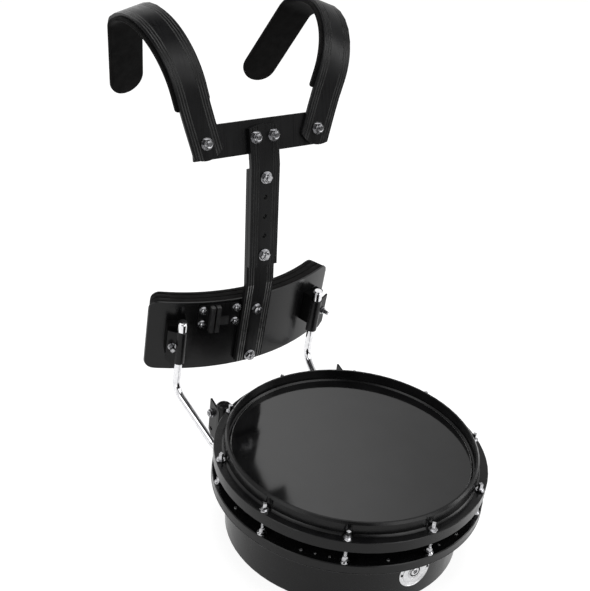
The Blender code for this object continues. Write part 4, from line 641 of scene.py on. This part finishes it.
def slab(name, outline, spine, place, rim, crown, materials, seams=()):
    """A soft slab: a front face, a rim profile of (depth, inset) and a crowned back.

    outline is the closed edge, spine gives the middle point that an edge point draws in to, and place
    maps across, along and depth to the piece's place.
    """
    shape = bmesh.new()
    rings = []
    bands = []
    front_shares = (1.0, 0.6, 0.25)
    back_shares = (0.04, 0.10, 0.20, 0.34, 0.50, 0.68, 0.85, 1.0)

    def ring(inset, share, depth):
        points = []
        for across, along in outline:
            middle = spine(across, along)
            gap = Vector((middle[0] - across, middle[1] - along))
            far = gap.length
            pull = min(1.0, inset / far) if far > 1e-9 else 0.0
            pull = pull + (1 - pull) * share
            points.append(place(across + gap.x * pull, along + gap.y * pull, depth(across, along, pull)))
        rings.append(points)
        bands.append(0)

    def flat(level):
        return lambda across, along, pull: level

    def crowned(base):
        return lambda across, along, pull: base + crown * (1 - (1 - pull) ** 2)

    first = rim[0]
    for share in front_shares:
        ring(first[1], share, flat(first[0]))
    for depth, inset in rim:
        ring(inset, 0.0, flat(depth))
    last = rim[-1]
    for share in back_shares:
        ring(last[1], share, crowned(last[0]))
    for k in seams:
        bands[len(front_shares) + k] = 1
    add_rings(shape, rings, bands=bands)
    return new_object(name, finish_mesh(name, shape, 60), materials)


def stadium(half_width, start, end, start_corner, end_corner, step=0.004):
    """A long outline from start to end with its own corner radius at each end, counter-clockwise."""
    points = []
    corners = (
        (half_width - start_corner, start + start_corner, start_corner, -90),
        (half_width - end_corner, end - end_corner, end_corner, 0),
        (end_corner - half_width, end - end_corner, end_corner, 90),
        (start_corner - half_width, start + start_corner, start_corner, 180),
    )
    for across, along, radius, turn in corners:
        count = max(4, round(radius * math.pi / 2 / step))
        for i in range(count + 1):
            angle = math.radians(turn + 90 * i / count)
            points.append((across + radius * math.cos(angle), along + radius * math.sin(angle)))
    dense = []
    for first, second in zip(points, points[1:] + points[:1]):
        gap = math.dist(first, second)
        if gap < 1e-7:
            continue
        count = max(1, math.ceil(gap / step))
        dense += [tuple(a + (b - a) * i / count for a, b in zip(first, second)) for i in range(count)]
    return dense


def arm_station(distance):
    """(along, back, angle) of the arm's front line at this distance from its foot end."""
    along, back, angle = -ARM_BELOW_PIVOT, 0.0, 0.0
    left = distance
    for length, turn, radius in ARM_RUNS:
        span = length if length else abs(math.radians(turn) * radius)
        used = min(left, span) if (length, turn) != ARM_RUNS[-1][:2] else left
        step_turn = 0.0 if length else math.radians(turn) * used / span
        chord = used if length else 2 * radius * math.sin(step_turn / 2)
        along += chord * math.cos(angle + step_turn / 2)
        back += chord * math.sin(angle + step_turn / 2)
        angle += step_turn
        left -= used
        if left <= 0:
            break
    return along, back, angle


def arm_length():
    """The length of the arm's front line."""
    return sum(length if length else abs(math.radians(turn) * radius) for length, turn, radius in ARM_RUNS)


def arm_matrix(word):
    """The arm's own frame at its pivot: Y up along it and Z out of its front."""
    joint = JOINTS[f"arm_{word}_swing"]
    side = -1 if word == "left" else 1
    up = Vector((0, math.sin(CROSSBAR_LEAN), math.cos(CROSSBAR_LEAN)))
    out = Vector((0, -math.cos(CROSSBAR_LEAN), math.sin(CROSSBAR_LEAN)))
    base = frame_matrix(Vector(joint["pos_m"]), (1, 0, 0), up, out)
    return base @ Matrix.Rotation(math.radians(-side * ARM_SPREADS[word]), 4, "Z")


def soft_wave(point, size, height):
    return height * noise.noise(point / size)


def make_shoulder_pad(word):
    """A foam strip glued under the arm, with rounded edges and one laminating seam round its side."""
    matrix = arm_matrix(word)
    start = SHOULDER_PAD_START + ARM_BELOW_PIVOT
    end = arm_length() + PAD_HALF_WIDTH - SHOULDER_PAD_SHORT
    foot_corner = 0.004
    foot_reach = 0.012
    wavy_from = 0.002
    outline = stadium(PAD_HALF_WIDTH, start, end, foot_corner, PAD_HALF_WIDTH - 0.0005)

    def spine(across, along):
        return 0.0, min(max(along, start + foot_reach), end - PAD_HALF_WIDTH)

    def place(across, along, depth):
        line_along, line_back, angle = arm_station(along)
        off = ARM_THICKNESS + GLUE_GAP + depth
        point = Vector((across, line_along - off * math.sin(angle), -line_back - off * math.cos(angle)))
        if depth > wavy_from:
            point += Vector((0, 0, soft_wave(point, 0.03, 0.00035)))
        return matrix @ point

    rim = (
        (0.0, 0.0008),
        (0.0004, 0.0002),
        (0.0012, 0.0),
        (0.0030, 0.0),
        (0.0034, 0.0007),
        (0.0038, 0.0007),
        (0.0042, 0.0),
        (0.0054, 0.0002),
        (0.0064, 0.0010),
        (0.0071, 0.0024),
        (SHOULDER_PAD_DEPTH - 0.0003, 0.0042),
    )
    pad = slab(f"shoulder_cushion_{word}", outline, spine, place, rim, 0.0003, [PAD_FOAM, SEAM], (4, 5))
    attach(pad, f"arm_{word}")
    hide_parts(f"shoulder_pad_{word}")


def make_belly_cushion():
    """A foam cushion behind the belly plate: three laminated layers, round corners and a crowned back."""
    matrix = frame_matrix(PLATE_MIDDLE, (1, 0, 0), PLATE_UP, PLATE_OUT)
    front = PLATE_RADIUS - PLATE_THICKNESS - GLUE_GAP
    corner = 0.014
    step = 0.0045
    wavy_from = 0.004
    turned = stadium(PLATE_HALF_HEIGHT, -PLATE_HALF_WIDTH, PLATE_HALF_WIDTH, corner, corner, step)
    outline = [(along, -across) for across, along in turned]

    def spine(across, along):
        reach = PLATE_HALF_WIDTH - PLATE_HALF_HEIGHT
        return min(max(across, -reach), reach), 0.0

    def place(across, along, depth):
        angle = math.asin(max(-1, min(1, across / PLATE_RADIUS)))
        radius = front - depth
        point = Vector((radius * math.sin(angle), along, radius * math.cos(angle) - PLATE_RADIUS))
        if depth > wavy_from:
            point += Vector((0, 0, soft_wave(point, 0.045, 0.0005)))
        return matrix @ point

    rim = (
        (0.0, 0.0010),
        (0.0005, 0.0002),
        (0.0015, 0.0),
        (0.0092, 0.0),
        (0.0098, 0.0012),
        (0.0104, 0.0012),
        (0.0110, 0.0),
        (0.0192, 0.0),
        (0.0198, 0.0012),
        (0.0204, 0.0012),
        (0.0210, 0.0001),
        (0.0262, 0.0004),
        (0.0284, 0.0015),
        (0.0297, 0.0034),
        (0.0303, 0.0060),
    )
    pad = slab("belly_cushion", outline, spine, place, rim, 0.0024, [PAD_FOAM, SEAM], (4, 5, 8, 9))
    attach(pad, "carrier")
    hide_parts("belly_pad")


# Fittings on the drum

def shell_point(radius, offset, height):
    """A point this far from the drum's axis, offset round the shell from its front, at this height."""
    return polar(radius, math.degrees(offset / SHELL_RADIUS), height)


def badge_ring(radius, lift):
    """A ring of the badge round its middle, lifted off the shell by this much."""
    points = []
    for i in range(BADGE_SIDES):
        angle = math.tau * i / BADGE_SIDES
        height = BADGE_HEIGHT + radius * math.sin(angle)
        points.append(shell_point(SHELL_RADIUS + lift, radius * math.cos(angle), height))
    return points


def make_badge():
    """A bright round plate on the shell round the vent, with plain rings, an eyelet and two pins."""
    gap = 0.0003
    # Radius, height over the shell and material of each ring's outer side
    profile = (
        (0.0036, -0.0010, 0), (0.0036, 0.0012, 0), (0.0042, 0.0016, 0), (0.0050, 0.0016, 0),
        (0.0062, 0.0009, 0), (0.0064, 0.0007, 1), (0.0086, 0.0007, 0), (0.0088, 0.0011, 0),
        (0.0096, 0.0011, 1), (0.0098, 0.0007, 0), (0.0112, 0.0007, 0), (0.0114, 0.0011, 0),
        (0.0118, 0.0011, 1), (0.0120, 0.0007, 0), (0.0196, 0.0007, 0), (0.0198, 0.0011, 0),
        (0.0203, 0.0011, 1), (0.0205, 0.0007, 0), (0.0240, 0.0007, 0), (0.0243, 0.0011, 0),
        (0.0254, 0.0011, 0), (0.0259, 0.0007, 0), (BADGE_RADIUS, 0.0002, 0),
    )
    rings = [badge_ring(radius, gap + height) for radius, height, band in profile]
    rings += [badge_ring(BADGE_RADIUS, 0.0001), badge_ring(BADGE_HOLE, -0.0008)]
    bands = [band for radius, height, band in profile] + [0, 0]
    shape = bmesh.new()
    add_rings(shape, rings, closed=True, bands=bands)
    badge = new_object("badge_plate", finish_mesh("badge_plate", shape, 30), [SILVER, POWDER])
    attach(badge, "drum")
    pin_profile = ((0, 0.0020), (0.0012, 0.0019), (0.0019, 0.0014), (0.0021, 0.0006), (0, 0.0004))
    for word, offset in (("left", -BADGE_PIN_OFFSET), ("right", BADGE_PIN_OFFSET)):
        pin = bmesh.new()
        add_rings(pin, lathe_rings(pin_profile, 16))
        out = polar(1, math.degrees(offset / SHELL_RADIUS)) - polar(0, 0)
        side = Vector((0, 0, 1)).cross(out)
        place = frame_matrix(shell_point(SHELL_RADIUS + gap, offset, BADGE_HEIGHT), side, (0, 0, 1), out)
        bmesh.ops.transform(pin, matrix=place, verts=pin.verts)
        piece = new_object(f"badge_pin_{word}", finish_mesh(f"badge_pin_{word}", pin), [MOULDED])
        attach(piece, "drum")


def screw_head(shape, place, radius, height, socket):
    """A round screw head with a hexagon socket, standing on place's XY plane."""
    sides = 24
    profile = ((0, 0.0), (1, 0.0), (1, 0.55), (0.86, 0.88), (0.62, 1.0))
    rings = lathe_rings([(radius * share, height * rise) for share, rise in profile], sides)
    hexagon = []
    for i in range(sides):
        angle = math.tau * i / sides
        reach = socket * math.cos(math.pi / 6) / math.cos((angle % (math.pi / 3)) - math.pi / 6)
        hexagon.append(Vector((reach * math.cos(angle), reach * math.sin(angle), height)))
    floor = [Vector((point.x, point.y, 0.35 * height)) for point in hexagon]
    rings += [hexagon, floor, [Vector((0, 0, 0.30 * height))]]
    rows = add_rings(shape, rings)
    for row in rows:
        for vert in row:
            vert.co = place @ vert.co


def make_ring_screws():
    """Screws on the lug ring's web between the lugs, and three small ones near the front."""
    shape = bmesh.new()
    level = WEB_TOP + SCREW_GAP
    for k in range(LUG_COUNT):
        place = Matrix.Translation(polar(SCREW_CIRCLE, LUG_STEP * (k + 0.5), level))
        screw_head(shape, place, *SCREW_HEAD)
    for degrees in SMALL_SCREW_ANGLES:
        place = Matrix.Translation(polar(SMALL_SCREW_CIRCLE, degrees, level))
        screw_head(shape, place, *SMALL_SCREW_HEAD)
    screws = new_object("ring_screws", finish_mesh("ring_screws", shape, 30), [DARK_STEEL])
    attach(screws, "drum")


def make_ring_lip():
    """The rolled lower edge of the lug ring's band."""
    shape = bmesh.new()
    proud = 0.00025
    lift = 0.0001
    sides = 8
    middle = Vector((0, DRUM_Y, 0))
    rows = []
    for k in range(sides):
        angle = math.tau * k / sides
        radius = RING_RADIUS - RING_LIP + proud + RING_LIP * math.cos(angle)
        height = RING_LOW + lift + RING_LIP * (1 + math.sin(angle))
        rows.append([point + middle for point in circle(radius, height, 180)])
    add_rings(shape, rows, closed=True)
    lip = new_object("ring_lip", finish_mesh("ring_lip", shape, 60), [POWDER])
    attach(lip, "drum")


def make_rod_threads():
    """The raised thread on each tension rod below the hoop."""
    low = WEB_TOP - 0.0095
    high = FLANGE_TOP - 0.006
    pitch = 0.0011
    steps = 10
    coil = ROD_RADIUS - 0.0001
    wire = 0.00030
    count = round((high - low) / pitch * steps)
    for index in range(1, LUG_COUNT + 1):
        axis = polar(LUG_CIRCLE, LUG_STEP * (index - 1))
        points = []
        for i in range(count + 1):
            angle = math.tau * i / steps
            rise = low + (high - low) * i / count
            points.append(axis + Vector((coil * math.cos(angle), coil * math.sin(angle), rise)))
        shape = bmesh.new()
        add_tube(shape, points, wire, 4)
        thread = new_object(f"rod_thread_{index:02d}", finish_mesh("thread", shape, 60), [CHROME])
        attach(thread, f"tension_rod_{index:02d}")


def make_snares():
    """Coiled wires between two soldered end plates under the head."""
    count = 20
    pitch = 0.0020
    coil = 0.00062
    wire = 0.00020
    turn = 0.0021
    steps = 6
    half = 0.150
    end_length = 0.0135
    overlap = 0.002
    drop = 0.0025
    clearance = 0.0009
    inner = half - end_length
    reach = inner + overlap
    level = SHELL_HEIGHT - drop - clearance
    out = polar(1, SNARE_ANGLE) - polar(0, 0)
    side = Vector((0, 0, 1)).cross(out)
    matrix = frame_matrix(Vector((0, DRUM_Y, level)), out, side, (0, 0, 1))
    shape = bmesh.new()
    points_each = round(2 * reach / turn * steps)
    for k in range(count):
        y = (k - (count - 1) / 2) * pitch
        points = []
        for i in range(points_each + 1):
            angle = math.tau * i / steps + k
            x = 2 * reach * i / points_each - reach
            points.append(Vector((x, y + coil * math.cos(angle), coil * math.sin(angle))))
        add_tube(shape, points, wire, 3)
    bmesh.ops.transform(shape, matrix=matrix, verts=shape.verts)
    coils = new_object("snare_coils", finish_mesh("snare_coils", shape, 80), [WIRE])
    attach(coils, "drum")
    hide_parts("snare_wires")
    for word, end in (("front", 1), ("rear", -1)):
        make_snare_end(word, end, inner, half, matrix)


def make_snare_end(word, end, inner, outer, matrix):
    """The plate that the wires are soldered to, with its outer corners cut off."""
    low, high = -0.0008, 0.0007
    inset = 0.0003
    wide = 0.0199
    cut = 0.004
    middle = (inner + outer) / 2
    corners = [
        (inner, -wide), (outer - cut, -wide), (outer, cut - wide),
        (outer, wide - cut), (outer - cut, wide), (inner, wide),
    ]
    rings = []
    for height, draw in ((low, inset), (low + inset, 0), (high - inset, 0), (high, inset)):
        rings.append([
            Vector((end * (x + (draw if x < middle else -draw)), y * (1 - draw / wide), height))
            for x, y in corners
        ])
    plate = bmesh.new()
    add_capped(plate, rings)
    bmesh.ops.transform(plate, matrix=matrix, verts=plate.verts)
    piece = new_object(f"snare_end_{word}", finish_mesh(f"snare_end_{word}", plate, 30), [WIRE])
    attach(piece, "drum")


# Floor, light and camera

def math_node(tree, operation, first, second):
    """A Math node of two inputs, each an output of another node or a number."""
    added = tree.nodes.new("ShaderNodeMath")
    added.operation = operation
    for target, value in zip(added.inputs, (first, second)):
        if isinstance(value, float):
            target.default_value = value
        else:
            tree.links.new(value, target)
    return added.outputs[0]


def toward_node(tree, direction, aim):
    """How far a direction points along an aim: their dot product."""
    added = tree.nodes.new("ShaderNodeVectorMath")
    added.operation = "DOT_PRODUCT"
    added.inputs[1].default_value = aim
    tree.links.new(direction, added.inputs[0])
    return added.outputs["Value"]


def make_floor():
    """A grey floor that keeps the object's shadow, and glows white to the camera and to shiny surfaces."""
    made = bpy.data.materials.new("pale_floor")
    made.use_nodes = True
    tree = made.node_tree
    tree.nodes.clear()
    output = tree.nodes.new("ShaderNodeOutputMaterial")
    diffuse = tree.nodes.new("ShaderNodeBsdfDiffuse")
    diffuse.inputs["Color"].default_value = (FLOOR_GREY, FLOOR_GREY, FLOOR_GREY, 1)
    glow = tree.nodes.new("ShaderNodeEmission")
    glow.inputs["Color"].default_value = (1, 1, 1, 1)
    paths = tree.nodes.new("ShaderNodeLightPath")
    seen = math_node(tree, "MAXIMUM", paths.outputs["Is Camera Ray"], paths.outputs["Is Glossy Ray"])
    tree.links.new(math_node(tree, "MULTIPLY", seen, FLOOR_GLOW), glow.inputs["Strength"])
    added = tree.nodes.new("ShaderNodeAddShader")
    tree.links.new(diffuse.outputs[0], added.inputs[0])
    tree.links.new(glow.outputs[0], added.inputs[1])
    tree.links.new(added.outputs[0], output.inputs["Surface"])
    shape = bmesh.new()
    bmesh.ops.create_circle(shape, cap_ends=True, segments=64, radius=FLOOR_RADIUS)
    floor = new_object("floor", finish_mesh("floor", shape), [made])
    floor.location.z = -FLOOR_DROP


def make_world():
    """White to the camera, an even level for diffuse light, and a studio of soft areas for shiny surfaces.

    The studio is brightest behind the object, dim behind the camera and overhead, with the soft boxes added.
    """
    world = bpy.data.worlds.new("studio")
    bpy.context.scene.world = world
    world.use_nodes = True
    tree = world.node_tree
    tree.nodes.clear()
    output = tree.nodes.new("ShaderNodeOutputWorld")
    background = tree.nodes.new("ShaderNodeBackground")
    background.inputs["Color"].default_value = (1, 1, 1, 1)
    tree.links.new(background.outputs[0], output.inputs["Surface"])
    paths = tree.nodes.new("ShaderNodeLightPath")
    direction = tree.nodes.new("ShaderNodeTexCoord").outputs["Generated"]
    split = tree.nodes.new("ShaderNodeSeparateXYZ")
    tree.links.new(direction, split.inputs[0])
    backdrop = range_node(tree, toward_node(tree, direction, BACKDROP_AIM), *BACKDROP, "SMOOTHSTEP")
    ceiling = range_node(tree, split.outputs["Z"], *CEILING, "SMOOTHSTEP")
    side = range_node(tree, split.outputs["X"], *RIGHT_SIDE)
    lit = math_node(tree, "MULTIPLY", math_node(tree, "MULTIPLY", backdrop, ceiling), side)
    for aim, low, high, level in SOFT_BOXES:
        window = range_node(tree, toward_node(tree, direction, aim), low, high, 0.0, level, "SMOOTHSTEP")
        lit = math_node(tree, "ADD", lit, window)
    glossy = tree.nodes.new("ShaderNodeMix")
    glossy.inputs["A"].default_value = DIFFUSE_LEVEL
    tree.links.new(paths.outputs["Is Glossy Ray"], glossy.inputs["Factor"])
    tree.links.new(lit, glossy.inputs["B"])
    camera = tree.nodes.new("ShaderNodeMix")
    camera.inputs["B"].default_value = 1.0
    tree.links.new(paths.outputs["Is Camera Ray"], camera.inputs["Factor"])
    tree.links.new(glossy.outputs["Result"], camera.inputs["A"])
    tree.links.new(camera.outputs["Result"], background.inputs["Strength"])


def add_light(name, place, aim, size, power, in_reflections):
    """A rectangular area lamp at place that points at aim."""
    light = bpy.data.lights.new(name, "AREA")
    light.shape = "RECTANGLE"
    light.size = size[0]
    light.size_y = size[1]
    light.energy = power
    lamp = bpy.data.objects.new(name, light)
    bpy.context.scene.collection.objects.link(lamp)
    lamp.location = place
    lamp.rotation_euler = (Vector(aim) - Vector(place)).to_track_quat("-Z", "Y").to_euler()
    lamp.visible_glossy = in_reflections


def make_lights():
    middle = (0.0, 0.0, 0.25)
    add_light("overhead", (0.2, 0.3, 2.6), middle, (1.8, 1.8), 36, False)
    add_light("left_box", (-2.2, -0.2, 0.9), middle, (0.7, 1.6), 12, False)
    add_light("right_box", (2.0, -1.0, 1.3), middle, (0.8, 1.4), 16, True)


def make_camera():
    """The camera that the photograph was taken from, fitted to the drum's ellipses, rods and bars."""
    width = 590
    sensor = 36
    focal = 1132.55
    centre = (-8.02, 39.62)
    azimuth = math.radians(-35.182)
    elevation = math.radians(31.303)
    roll = math.radians(6.169)
    eye = Vector((-0.8638, -1.0314 + DRUM_Y, 0.9999 + FLANGE_TOP))
    level_back = Vector((math.sin(azimuth), -math.cos(azimuth), 0))
    back = level_back * math.cos(elevation) + Vector((0, 0, math.sin(elevation)))
    right = Vector((math.cos(azimuth), math.sin(azimuth), 0))
    up = back.cross(right)
    across = math.cos(roll) * right + math.sin(roll) * up
    upward = -math.sin(roll) * right + math.cos(roll) * up
    data = bpy.data.cameras.new("camera")
    data.sensor_fit = "HORIZONTAL"
    data.sensor_width = sensor
    data.lens = focal / width * sensor
    data.shift_x = -centre[0] / width
    data.shift_y = centre[1] / width
    data.clip_start = 0.05
    data.clip_end = 60
    camera = bpy.data.objects.new("camera", data)
    bpy.context.scene.collection.objects.link(camera)
    camera.matrix_world = frame_matrix(eye, across, upward, back)
    bpy.context.scene.camera = camera


dress_cad()
make_shoulder_pad("left")
make_shoulder_pad("right")
make_belly_cushion()
make_badge()
make_ring_screws()
make_ring_lip()
make_rod_threads()
make_snares()
make_floor()
make_world()
make_lights()
make_camera()
bpy.context.scene.view_settings.view_transform = "Standard"
